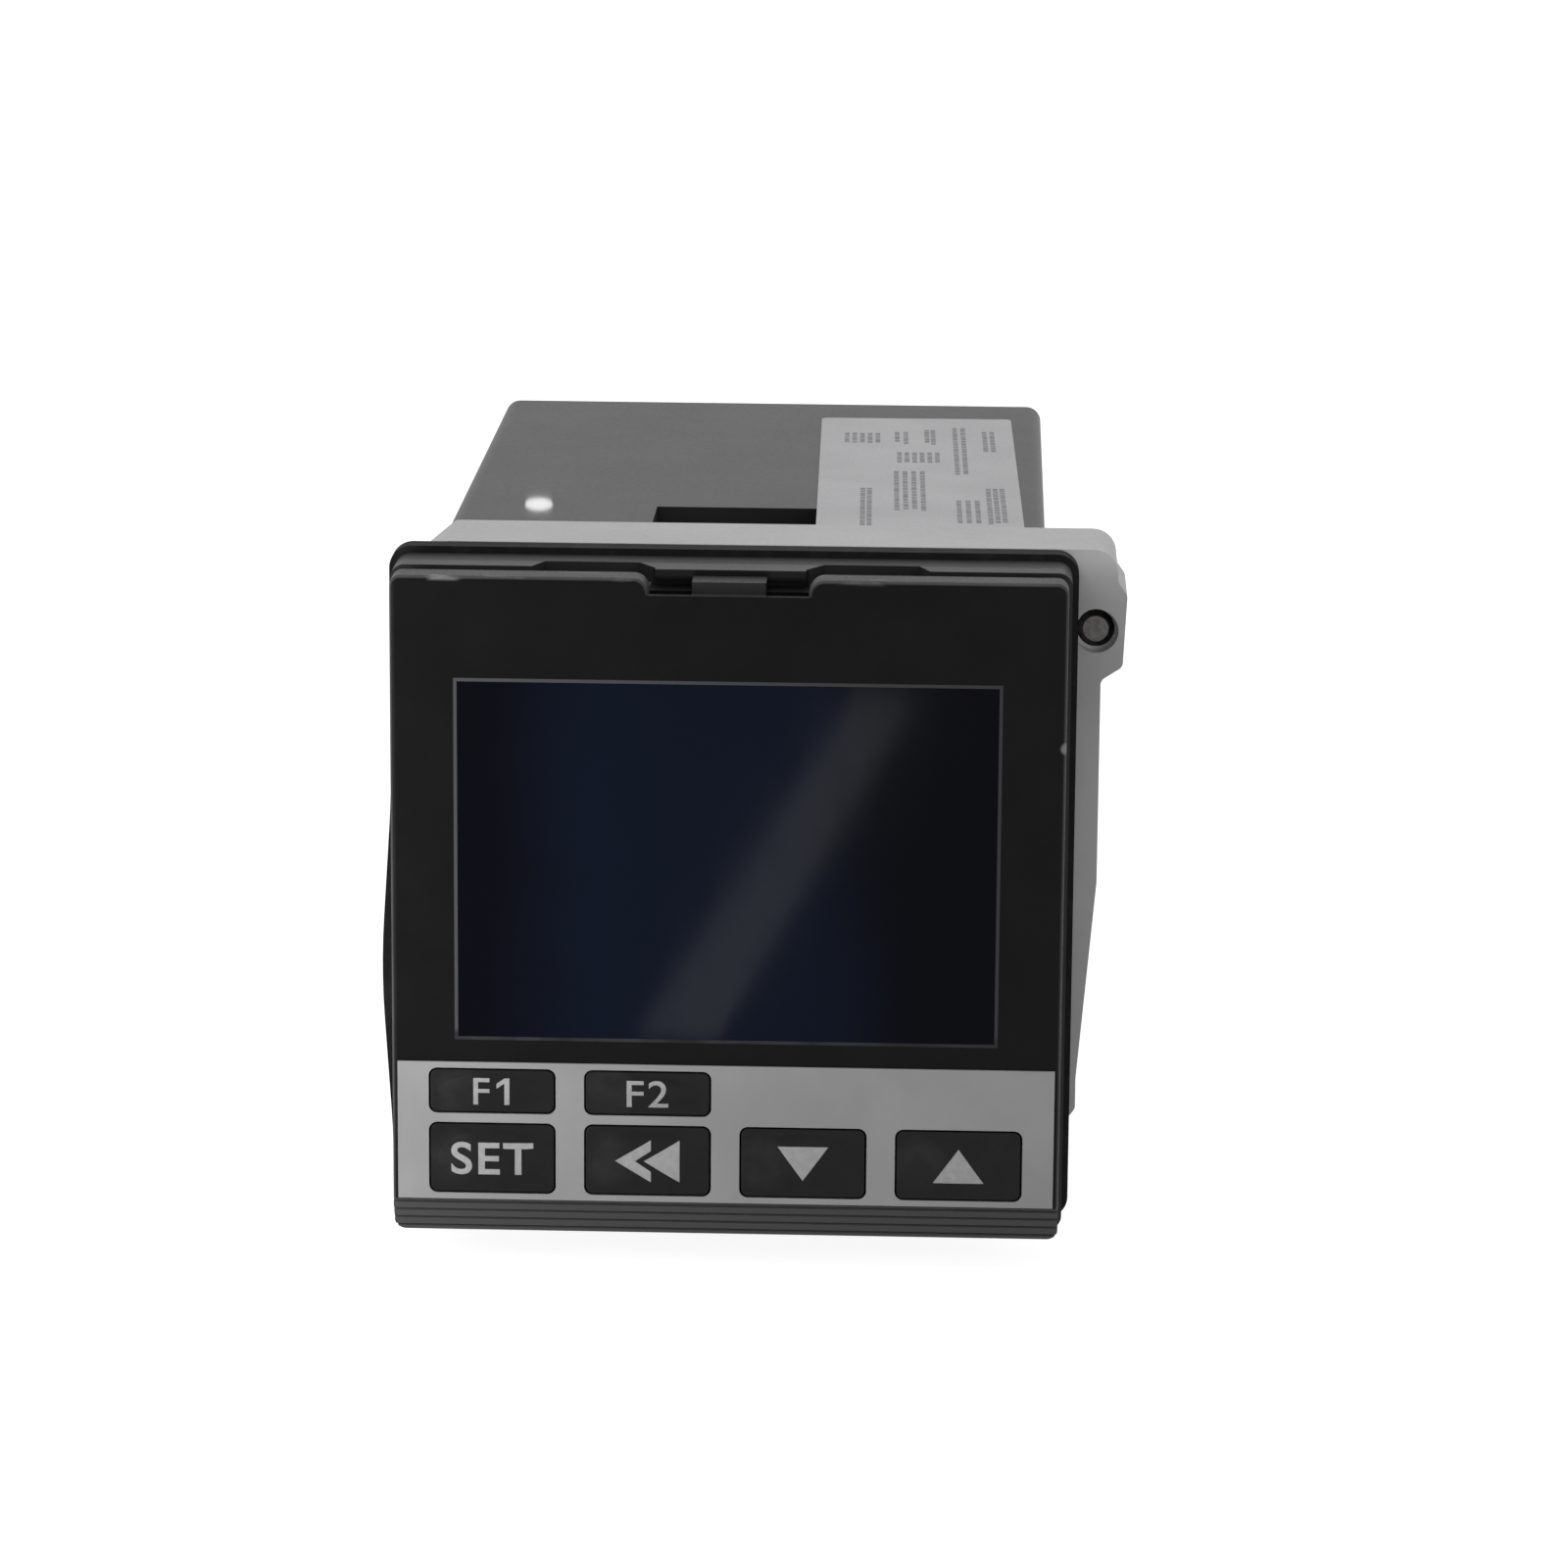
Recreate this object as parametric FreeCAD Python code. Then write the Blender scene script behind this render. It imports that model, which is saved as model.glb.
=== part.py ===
import FreeCAD, Part
import math
import os

# Square panel-mounted temperature controller with a draw-out chassis, in millimetres.
# X runs right seen from the front, Y runs back through the panel and Z runs up.
# The origin is the centre of the case in the panel's plane, where the gasket seals.

Vector = FreeCAD.Vector

# Case and panel seal
FLANGE_OVERHANG = 1.7
FLANGE_DEPTH = 4.4
FLANGE_CORNER = 1.0
CASE_SIZE = 44.6
CASE_REAR = 74.7
CASE_WALL = 1.8
CASE_CORNER = 1.2
BORE_CORNER = 0.4
GASKET_OVERHANG = 0.5
GASKET_DEPTH = 1.8
GASKET_CORNER = 1.6
GASKET_BOW = 0.8
GASKET_BOW_SPAN = 25.0
GASKET_BOW_HEIGHT = -6.5
GASKET_BOW_SOFTNESS = 0.3
GASKET_STRETCH = 0.1

# Slots, pry recesses and ratchets of the case
SLOT_WIDTH = 14.0
SLOT_START = 18.2
SLOT_END = 26.7
PRY_LAP = 0.3
PRY_WIDTH = 8.7
PRY_SLOPE = 0.8
PRY_RAMP = 1.2
PRY_DEPTH = 1.9
PRY_DROP = 1.4
LIP_DEPTH = 0.5
LIP_DROP = 0.7
RATCHET_START = 2.0
RATCHET_PITCH = 2.0
RATCHET_COUNT = 16
RATCHET_DEPTH = 0.7
RATCHET_LAND = 0.3
RATCHET_HEIGHT = 5.2

# Front bezel
PARTING_GAP = 1.7
PLATE_INSET = 0.3
PLATE_DEPTH = 2.4
PLATE_CORNER = 0.8
PLATE_EDGE = 0.4
NECK_INSET = 1.0
NECK_WALL = 1.3
GRIP_HEIGHT = 2.85
GRIP_SLANT = 1.7
GRIP_RIBS = 4
GRIP_GROOVE = 0.25
GRIP_GROOVE_SHARE = 0.3
NOTCH_WIDTH = 11.2
NOTCH_DROP = 1.2
NOTCH_SHOULDER = 1.1
NOTCH_LIP = 0.6
PIT_DEPTH = 1.4
PIT_DROP = 1.4
TAB_WIDTH = 5.2
TAB_RISE = 0.8
TAB_SETBACK = 1.1
TONGUE_WALL = 1.0
TONGUE_HEIGHT = 21.0
TONGUE_REACH = 9.0
BARB_REACH = 0.7
BARB_DEPTH = 1.4

# Display
WINDOW_SIDE = 4.6
WINDOW_HEAD = 7.35
WINDOW_FOOT = 1.75
WINDOW_CORNER = 0.3
WINDOW_DEPTH = 1.2
WINDOW_LEDGE = 1.0
WINDOW_GAP = 0.08
LCD_SIDE_GAP = 0.2
LCD_LAP = 1.4
LCD_DEPTH = 1.4
BACKLIGHT_INSET = 0.5
BACKLIGHT_DEPTH = 1.9

# Key fascia and keys
FASCIA_INSET = 0.4
FASCIA_DEPTH = 0.15
KEY_COLUMNS = 4
KEY_SPACE = 2.25
KEY_MARGIN = 0.55
KEY_ROW_GAP = 0.9
UPPER_KEY_HEIGHT = 3.1
LOWER_KEY_HEIGHT = 5.0
KEY_CORNER = 0.5
KEY_PROUD = 0.2
KEY_GAP = 0.12
KEY_RIM = 0.4
KEY_RIM_DEPTH = 0.7
KEY_RIM_CLEAR = 0.06
KEY_RIM_ROOM = 0.325
KEY_TRAVEL = 0.4
SWITCH_WIDTH = 4.2
SWITCH_HEIGHT = 3.2
PLUNGER_SIDE = 1.8
PLUNGER_CLEAR = 0.2
PLUNGER_LENGTH = 1.2

# Boards and their parts
CHASSIS_CLEAR = 0.3
BOARD_DEPTH = 1.6
DISPLAY_BOARD_ROOM = 0.5
CENTRE_BOARD_ROOM = 3.0
RIB_WALL = 0.8
RIB_RISE = 1.2
RIB_START = 4.0
RIB_CLEAR = 0.25
HEADER_WIDTH = 2.5
HEADER_DEPTH = 2.6
HEADER_HEIGHT = 28.0
CORE_SIZE = 13.0
CORE_LIMB = 3.2
COIL_ROOM = 0.35
COIL_CORNER = 1.0
TRANSFORMER_GAP = 0.3
TRANSFORMER_PLACE = 36.0
RELAY_GAP = 1.0
RELAY_LENGTH = 18.0
RELAY_HEIGHT = 9.0
RELAY_APART = 4.0
RELAY_PLACE = 34.0
RELAY_EDGE = 0.4
CAPACITOR_RADIUS = 4.0
CAPACITOR_ROOM = 1.1
CAPACITOR_APART = 2.0
CAPACITOR_PLACE = 14.0
CHIP_SIZE = 10.0
CHIP_RISE = 1.4
CHIP_APART = 4.0
CHIP_PLACE = 20.0

# Rear terminals and the sockets that plug onto them
TERMINAL_COLUMNS = 3
TERMINAL_ROWS = 5
BLOCK_CLEAR = 0.2
BLOCK_INSET = 0.5
BLOCK_FLOOR = 4.5
BLOCK_WALL = 1.2
COLUMN_WALL = 1.4
ROW_WALL = 0.8
CELL_DEPTH = 7.7
CONTACT_DEPTH = 0.8
CONTACT_CLEAR = 0.2
BLADE_SIDE = 2.5
BLADE_WALL = 0.8
BLADE_HEIGHT = 2.6
BLADE_REACH = 5.0
BLADE_CLEAR = 0.3
CLAMP_SIDE = 0.5
CLAMP_WIDTH = 6.4
CLAMP_DEPTH = 0.9
TERMINAL_SCREW_RADIUS = 1.5
SHANK_SIDES = 8
HEAD_SIDES = 24
TERMINAL_TIP_WALL = 0.6
TERMINAL_HEAD_CLEAR = 0.75
TERMINAL_HEAD_DEPTH = 1.9
SCREW_HOLE_CLEAR = 0.1
DRIVE_SLOT_WIDTH = 0.7
DRIVE_SLOT_DEPTH = 0.8
SOCKET_CLEAR = 0.8
SOCKET_FLOOR = 2.2
SOCKET_WALL = 1.5
SOCKET_END = 1.0

# Label on the case top
LABEL_LEFT = 4.3
LABEL_RIGHT_MARGIN = 2.5
LABEL_REAR_MARGIN = 7.4
LABEL_LENGTH = 53.0
LABEL_DEPTH = 0.12
LABEL_TURN = 1.1
LABEL_CORNER = 0.6

# Clamp bracket and jack screws
BRACKET_CLEAR = 0.3
BRACKET_WALL = 1.9
BRACKET_DEPTH = 8.2
BRACKET_STANDOFF = 0.2
BRACKET_CORNER = 5.0
BRACKET_CUT_WIDTH = 3.9
BRACKET_CUT_HEIGHT = 3.3
RAIL_ROOT = 1.7
RAIL_TIP = 0.45
RAIL_BEND = 0.2
RAIL_BEND_ROUND = 5.0
RAIL_KNEE = -14.5
RAIL_END = -16.8
BOSS_INSET = 3.7
BOSS_SPAN = 3.6
BOSS_STEP = 2.6
BOSS_TAPER = 0.25
BOSS_ROUND = 0.6
BOSS_SHOULDER = 1.5
BOSS_SHOULDER_ROUND = 1.7
LOWER_BOSS_FLARE = 2.2
UPPER_BOSS_WALL = 0.95
LOWER_BOSS_WALL = 0.6
UPPER_HEAD_CLEAR = 1.25
LOWER_HEAD_CLEAR = 0.3
JACK_RADIUS = 1.25
JACK_CLEAR = 0.1
JACK_LENGTH = 14.0
JACK_SETBACK = 0.9
JACK_POINT = 0.45
JACK_HEAD_RADIUS = 2.25
JACK_HEAD_DEPTH = 1.6
JACK_MOUTH = 0.25
JACK_MOUTH_DEPTH = 1.2
PAWL_HEIGHT = 6.0
PAWL_WALL = 1.2
PAWL_ROOT = 2.2
PAWL_SLIT = 0.8
PAWL_TOOTH = 0.2

# Working allowances: how far cuts run past a face, how far joined pieces lap,
# the gap at a seat, and the distance at which two points count as one
OVERCUT = 1.0
LAP = 0.1
SEAT_GAP = 0.1
TOUCH = 1e-6

# Case, bezel and display places that follow from the sizes above
CASE_HALF = CASE_SIZE / 2
BORE_HALF = CASE_HALF - CASE_WALL
FLANGE_SIZE = CASE_SIZE + 2 * FLANGE_OVERHANG
FLANGE_FRONT = -GASKET_DEPTH - FLANGE_DEPTH
PLATE_WIDTH = FLANGE_SIZE - 2 * PLATE_INSET
PLATE_HEIGHT = FLANGE_SIZE
PLATE_TOP = PLATE_HEIGHT / 2
PLATE_BACK = FLANGE_FRONT - PARTING_GAP
PLATE_FRONT = PLATE_BACK - PLATE_DEPTH
NECK_SIZE = FLANGE_SIZE - 2 * NECK_INSET
NECK_INNER = NECK_SIZE - 2 * NECK_WALL
NECK_BACK = FLANGE_FRONT - SEAT_GAP
GRIP_TOP = -PLATE_TOP + GRIP_HEIGHT
NOTCH_FLOOR = PLATE_TOP - NOTCH_DROP
NOTCH_SIDE = NOTCH_WIDTH / 2
PRY_INNER = NOTCH_SIDE - PRY_LAP
PRY_OUTER = PRY_INNER + PRY_WIDTH
LCD_BACK = PLATE_BACK + LCD_DEPTH
BOARD_FRONT = LCD_BACK + BACKLIGHT_DEPTH
BOARD_BACK = BOARD_FRONT + BOARD_DEPTH
TONGUE_OUTER = BORE_HALF - CHASSIS_CLEAR
TONGUE_INNER = TONGUE_OUTER - TONGUE_WALL

# Key and window places, stacked up from the grip
FASCIA_WIDTH = PLATE_WIDTH - 2 * FASCIA_INSET
FASCIA_HEIGHT = LOWER_KEY_HEIGHT + KEY_ROW_GAP + UPPER_KEY_HEIGHT + 2 * KEY_MARGIN
FASCIA_TOP = GRIP_TOP + FASCIA_HEIGHT
FASCIA_FRONT = PLATE_FRONT - FASCIA_DEPTH
KEYS_WIDTH = NECK_INNER - 2 * (KEY_RIM_ROOM + KEY_RIM)
KEY_WIDTH = (KEYS_WIDTH - (KEY_COLUMNS - 1) * KEY_SPACE) / KEY_COLUMNS
KEY_PITCH = KEY_WIDTH + KEY_SPACE
LOWER_KEY_CENTRE = GRIP_TOP + KEY_MARGIN + LOWER_KEY_HEIGHT / 2
UPPER_KEY_CENTRE = FASCIA_TOP - KEY_MARGIN - UPPER_KEY_HEIGHT / 2
KEY_FRONT = FASCIA_FRONT - KEY_PROUD
KEY_RIM_FRONT = PLATE_BACK + KEY_RIM_CLEAR
KEY_BACK = KEY_RIM_FRONT + KEY_RIM_DEPTH
SWITCH_FRONT = KEY_BACK + KEY_TRAVEL + SEAT_GAP
WINDOW_WIDTH = PLATE_WIDTH - 2 * WINDOW_SIDE
WINDOW_HEIGHT = PLATE_TOP - WINDOW_HEAD - (FASCIA_TOP + WINDOW_FOOT)
WINDOW_CENTRE = FASCIA_TOP + WINDOW_FOOT + WINDOW_HEIGHT / 2

# Terminal cells, blades and sockets
BLOCK_SIZE = 2 * (BORE_HALF - BLOCK_CLEAR)
CELL_WIDTH = (BLOCK_SIZE - 2 * BLOCK_WALL - (TERMINAL_COLUMNS - 1) * COLUMN_WALL) / TERMINAL_COLUMNS
CELL_HEIGHT = (BLOCK_SIZE - 2 * BLOCK_WALL - (TERMINAL_ROWS - 1) * ROW_WALL) / TERMINAL_ROWS
COLUMN_PITCH = CELL_WIDTH + COLUMN_WALL
ROW_PITCH = CELL_HEIGHT + ROW_WALL
BLOCK_REAR = CASE_REAR - BLOCK_INSET
CELL_FLOOR = BLOCK_REAR - CELL_DEPTH
BLOCK_FRONT = CELL_FLOOR - BLOCK_FLOOR
SCREW_OFFSET = CONTACT_CLEAR + CLAMP_SIDE + CLAMP_WIDTH / 2 - CELL_WIDTH / 2
SCREW_ROOM = 2 * (TERMINAL_SCREW_RADIUS + SCREW_HOLE_CLEAR)
BLADE_OFFSET = CELL_WIDTH / 2 - BLADE_SIDE
BLADE_TIP = BLOCK_FRONT - BLADE_REACH
TERMINAL_HEAD_RADIUS = CELL_HEIGHT / 2 - TERMINAL_HEAD_CLEAR
TERMINAL_SCREW_LENGTH = CLAMP_DEPTH + CONTACT_DEPTH + BLOCK_FLOOR - TERMINAL_TIP_WALL
SOCKET_WIDTH = BLADE_WALL + 2 * BLADE_CLEAR + 2 * SOCKET_WALL
SOCKET_REAR = BLOCK_FRONT - SOCKET_CLEAR
SOCKET_FRONT = BLADE_TIP - BLADE_CLEAR - SOCKET_FLOOR
COLUMN_PLACES = [COLUMN_PITCH * (i - (TERMINAL_COLUMNS - 1) / 2) for i in range(TERMINAL_COLUMNS)]
ROW_PLACES = [ROW_PITCH * (i - (TERMINAL_ROWS - 1) / 2) for i in range(TERMINAL_ROWS)]

# Upright boards, one in line with each column of blades
BOARD_PLACES = [column + BLADE_OFFSET for column in COLUMN_PLACES]
POWER_X, OUTPUT_X, SIGNAL_X = BOARD_PLACES
OUTER_BOARD_HEIGHT = 2 * (BORE_HALF - CHASSIS_CLEAR)
CENTRE_BOARD_HEIGHT = 2 * (BORE_HALF - CENTRE_BOARD_ROOM)
POWER_FACE = POWER_X + BOARD_DEPTH / 2
OUTPUT_FACE = OUTPUT_X + BOARD_DEPTH / 2
TRANSFORMER_RISE = OUTPUT_X - BOARD_DEPTH / 2 - POWER_FACE - 2 * COIL_ROOM - TRANSFORMER_GAP
RELAY_RISE = SIGNAL_X - BOARD_DEPTH / 2 - OUTPUT_FACE - RELAY_GAP
CAPACITOR_RISE = POWER_X - BOARD_DEPTH / 2 + BORE_HALF - CAPACITOR_ROOM

# Clamp bracket
BRACKET_FRONT = BRACKET_STANDOFF
BRACKET_REAR = BRACKET_FRONT + BRACKET_DEPTH
BRACKET_INNER = CASE_HALF + BRACKET_CLEAR
BRACKET_HALF = BRACKET_INNER + BRACKET_WALL

# Keys by name: column from the left, and whether the key is in the short upper row
KEYS = {
    "f1": (0, True),
    "f2": (1, True),
    "set": (0, False),
    "back": (1, False),
    "down": (2, False),
    "up": (3, False),
}


def key_place(name):
    """Centre and height of a key on the front."""
    column, upper = KEYS[name]
    x = KEY_PITCH * (column - (KEY_COLUMNS - 1) / 2)
    if upper:
        return x, UPPER_KEY_CENTRE, UPPER_KEY_HEIGHT
    return x, LOWER_KEY_CENTRE, LOWER_KEY_HEIGHT


def rectangle(width, height, radius=0.0, u=0.0, v=0.0):
    """Four corners (u, v, radius) of a rectangle about a centre."""
    half_u, half_v = width / 2, height / 2
    return [
        (u - half_u, v - half_v, radius),
        (u + half_u, v - half_v, radius),
        (u + half_u, v + half_v, radius),
        (u - half_u, v + half_v, radius),
    ]


def many_sided(radius, sides, u, v):
    """Corners (u, v, 0) of a regular outline about a centre."""
    turns = [2 * math.pi * i / sides for i in range(sides)]
    return [(u + radius * math.cos(turn), v + radius * math.sin(turn), 0) for turn in turns]


def prism(corners, axis, low, high):
    """Solid with a rounded corner outline, pushed along an axis from low to high."""
    place = {
        "x": lambda p: Vector(low, p.x, p.y),
        "y": lambda p: Vector(p.x, low, p.y),
        "z": lambda p: Vector(p.x, p.y, low),
    }[axis]
    push = {
        "x": Vector(high - low, 0, 0),
        "y": Vector(0, high - low, 0),
        "z": Vector(0, 0, high - low),
    }[axis]
    turns = []
    for i, (u, v, radius) in enumerate(corners):
        corner = Vector(u, v, 0)
        before = Vector(*corners[i - 1][:2], 0) - corner
        after = Vector(*corners[(i + 1) % len(corners)][:2], 0) - corner
        before.normalize()
        after.normalize()
        half_angle = before.getAngle(after) / 2
        reach = radius / math.tan(half_angle)
        inward = before + after
        if radius > 0:
            inward.normalize()
        middle = corner + inward * (radius / math.sin(half_angle) - radius)
        turns.append((corner + before * reach, middle, corner + after * reach, radius))
    edges = []
    for i, (entry, middle, leave, radius) in enumerate(turns):
        previous = turns[i - 1][2]
        if (entry - previous).Length > TOUCH:
            edges.append(Part.LineSegment(place(previous), place(entry)).toShape())
        if radius > 0:
            edges.append(Part.Arc(place(entry), place(middle), place(leave)).toShape())
    face = Part.Face(Part.Wire(Part.__sortEdges__(edges)))
    return face.extrude(push)


def bar(x, y, z):
    """Box between pairs of X, Y and Z limits."""
    low = Vector(min(x), min(y), min(z))
    high = Vector(max(x), max(y), max(z))
    size = high - low
    return Part.makeBox(size.x, size.y, size.z, low)


def rod(radius, start, end):
    """Round bar between two points."""
    along = Vector(*end) - Vector(*start)
    return Part.makeCylinder(radius, along.Length, Vector(*start), along)


def frame(outer, inner, low, high):
    """Square ring along Y between an outer and an inner outline."""
    return prism(outer, "y", low, high).cut(prism(inner, "y", low, high))


def mirrored(shape):
    """Copy on the other side of the middle plane, left to right."""
    return shape.mirror(Vector(0, 0, 0), Vector(1, 0, 0))


def round_edges(shape, radius, chosen):
    """Rounds the edges that a test on their middle point picks."""
    picked = [edge for edge in shape.Edges if chosen(edge.CenterOfMass)]
    return shape.makeFillet(radius, picked)


def ratchet_notches():
    """Sawtooth notches for the clamp's pawl, on the right-hand wall."""
    notches = []
    for i in range(RATCHET_COUNT):
        start = RATCHET_START + i * RATCHET_PITCH
        end = start + RATCHET_PITCH - RATCHET_LAND
        root = CASE_HALF - RATCHET_DEPTH
        tooth = [(CASE_HALF + LAP, start, 0), (root, start, 0), (CASE_HALF + LAP, end, 0)]
        notches.append(prism(tooth, "z", -RATCHET_HEIGHT / 2, RATCHET_HEIGHT / 2))
    return notches


def board_guides():
    """Ribs on the roof and floor that hold the two outer boards upright."""
    ribs = []
    groove = BOARD_DEPTH / 2 + RIB_CLEAR
    for board_x in (POWER_X, SIGNAL_X):
        for side in (-1, 1):
            rib_x = (board_x + side * groove, board_x + side * (groove + RIB_WALL))
            for up in (-1, 1):
                rib_z = (up * (BORE_HALF - RIB_RISE), up * (BORE_HALF + LAP))
                ribs.append(bar(rib_x, (RIB_START, BLOCK_FRONT), rib_z))
    return ribs


def case_sleeve():
    """Square sleeve with a panel flange, slots above and below, ratchets and board guides."""
    body = prism(rectangle(CASE_SIZE, CASE_SIZE, CASE_CORNER), "y", FLANGE_FRONT, CASE_REAR)
    flange = prism(rectangle(FLANGE_SIZE, FLANGE_SIZE, FLANGE_CORNER), "y", FLANGE_FRONT, -GASKET_DEPTH)
    top = FLANGE_SIZE / 2
    lip = bar((-PRY_INNER, PRY_INNER), (FLANGE_FRONT - LIP_DEPTH, FLANGE_FRONT), (top - LIP_DROP, top))
    body = body.fuse([flange, lip])
    bore_outline = rectangle(2 * BORE_HALF, 2 * BORE_HALF, BORE_CORNER)
    bore = prism(bore_outline, "y", FLANGE_FRONT - OVERCUT, CASE_REAR + OVERCUT)
    body = body.cut(bore).fuse(board_guides())
    pry_back = FLANGE_FRONT + PRY_DEPTH
    recess = [
        (PRY_INNER, FLANGE_FRONT - OVERCUT, 0),
        (PRY_OUTER + OVERCUT * PRY_SLOPE / PRY_DEPTH, FLANGE_FRONT - OVERCUT, 0),
        (PRY_OUTER - PRY_SLOPE, pry_back, 0),
        (PRY_INNER + PRY_RAMP, pry_back, 0),
        (PRY_INNER, FLANGE_FRONT, 0),
    ]
    pry = prism(recess, "z", top - PRY_DROP, top + OVERCUT)
    slot_x = (-SLOT_WIDTH / 2, SLOT_WIDTH / 2)
    slot = bar(slot_x, (SLOT_START, SLOT_END), (-CASE_SIZE, CASE_SIZE))
    cuts = [pry, mirrored(pry), slot]
    for notch in ratchet_notches():
        cuts += [notch, mirrored(notch)]
    return body.cut(cuts).removeSplitter()


def panel_gasket():
    """Soft ring behind the flange, with its left side bowed outwards."""
    half = FLANGE_SIZE / 2 + GASKET_OVERHANG
    half_span = GASKET_BOW_SPAN / 2
    bow_round = GASKET_BOW_SOFTNESS * half_span**2 / GASKET_BOW
    outer = [
        (-half, -half, GASKET_CORNER),
        (half, -half, GASKET_CORNER),
        (half, half, GASKET_CORNER),
        (-half, half, GASKET_CORNER),
        (-half, GASKET_BOW_HEIGHT + half_span, bow_round),
        (-half - GASKET_BOW, GASKET_BOW_HEIGHT, bow_round),
        (-half, GASKET_BOW_HEIGHT - half_span, bow_round),
    ]
    inner_size = CASE_SIZE + 2 * GASKET_STRETCH
    return frame(outer, rectangle(inner_size, inner_size, CASE_CORNER), -GASKET_DEPTH, 0.0)


def rating_label():
    """Thin label on the case top, laid slightly askew."""
    width = CASE_HALF - LABEL_RIGHT_MARGIN - LABEL_LEFT
    outline = rectangle(width, LABEL_LENGTH, LABEL_CORNER, width / 2, -LABEL_LENGTH / 2)
    label = prism(outline, "z", CASE_HALF, CASE_HALF + LABEL_DEPTH)
    label.rotate(Vector(0, 0, 0), Vector(0, 0, 1), LABEL_TURN)
    label.translate(Vector(LABEL_LEFT, CASE_REAR - LABEL_REAR_MARGIN, 0))
    return label


def screw_notch(x, z, low, high):
    """Square notch, open to the left, for the screw of the terminal centred at (x, z)."""
    right = x + SCREW_OFFSET + SCREW_ROOM / 2
    return bar((x - CELL_WIDTH, right), (low, high), (z - SCREW_ROOM / 2, z + SCREW_ROOM / 2))


def terminal_block():
    """Rear block with a walled cell, a blade slit and a square screw pocket for each terminal."""
    block = prism(rectangle(BLOCK_SIZE, BLOCK_SIZE, BORE_CORNER), "y", BLOCK_FRONT, BLOCK_REAR)
    pocket_end = BLOCK_FRONT + TERMINAL_TIP_WALL - SCREW_HOLE_CLEAR
    cuts = []
    for x in COLUMN_PLACES:
        for z in ROW_PLACES:
            cell = rectangle(CELL_WIDTH, CELL_HEIGHT, 0, x, z)
            cuts.append(prism(cell, "y", CELL_FLOOR, BLOCK_REAR + OVERCUT))
            pocket = rectangle(SCREW_ROOM, SCREW_ROOM, 0, x + SCREW_OFFSET, z)
            cuts.append(prism(pocket, "y", pocket_end, CELL_FLOOR + OVERCUT))
            slit = rectangle(BLADE_WALL, BLADE_HEIGHT, 0, x + BLADE_OFFSET, z)
            cuts.append(prism(slit, "y", BLOCK_FRONT - OVERCUT, CELL_FLOOR + OVERCUT))
    return block.cut(cuts)


def terminal_contact(x, z):
    """Forked contact on a cell's floor, with a blade that passes forward through the block."""
    height = CELL_HEIGHT - 2 * CONTACT_CLEAR
    left = x - CELL_WIDTH / 2 + CONTACT_CLEAR
    right = x + BLADE_OFFSET + BLADE_WALL / 2
    top = CELL_FLOOR + CONTACT_DEPTH
    plate = bar((left, right), (CELL_FLOOR, top), (z - height / 2, z + height / 2))
    blade_z = (z - BLADE_HEIGHT / 2, z + BLADE_HEIGHT / 2)
    blade = bar((right - BLADE_WALL, right), (BLADE_TIP, top), blade_z)
    notch = screw_notch(x, z, CELL_FLOOR - OVERCUT, top + OVERCUT)
    return plate.cut(notch).fuse(blade).removeSplitter()


def terminal_clamp(x, z):
    """Forked clamp plate under a terminal screw."""
    seat = CELL_FLOOR + CONTACT_DEPTH
    height = CELL_HEIGHT - 2 * CONTACT_CLEAR
    screw_x = x + SCREW_OFFSET
    plate = prism(rectangle(CLAMP_WIDTH, height, 0, screw_x, z), "y", seat, seat + CLAMP_DEPTH)
    return plate.cut(screw_notch(x, z, seat - OVERCUT, seat + CLAMP_DEPTH + OVERCUT))


def slotted_screw(axis, tip, seat, radius, head_radius, head_depth):
    """Slotted cheese-head screw along Y, from its tip to the seat under its head."""
    x, z = axis
    shank = rod(radius, (x, tip, z), (x, seat, z))
    head = rod(head_radius, (x, seat, z), (x, seat + head_depth, z))
    top = seat + head_depth
    slot_z = (z - DRIVE_SLOT_WIDTH / 2, z + DRIVE_SLOT_WIDTH / 2)
    slot_x = (x - head_radius - OVERCUT, x + head_radius + OVERCUT)
    slot = bar(slot_x, (top - DRIVE_SLOT_DEPTH, top + OVERCUT), slot_z)
    return shank.fuse(head).cut(slot).removeSplitter()


def terminal_screw(x, z):
    """Screw of one terminal, down on its clamp plate, with a shank of few sides in place of its thread."""
    seat = CELL_FLOOR + CONTACT_DEPTH + CLAMP_DEPTH
    axis_x = x + SCREW_OFFSET
    shank_outline = many_sided(TERMINAL_SCREW_RADIUS, SHANK_SIDES, axis_x, z)
    head_outline = many_sided(TERMINAL_HEAD_RADIUS, HEAD_SIDES, axis_x, z)
    shank = prism(shank_outline, "y", seat - TERMINAL_SCREW_LENGTH, seat)
    return shank.fuse(prism(head_outline, "y", seat, seat + TERMINAL_HEAD_DEPTH))


def at_terminals(piece):
    """One piece for each terminal, as a group."""
    return Part.makeCompound([piece(x, z) for x in COLUMN_PLACES for z in ROW_PLACES])


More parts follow.
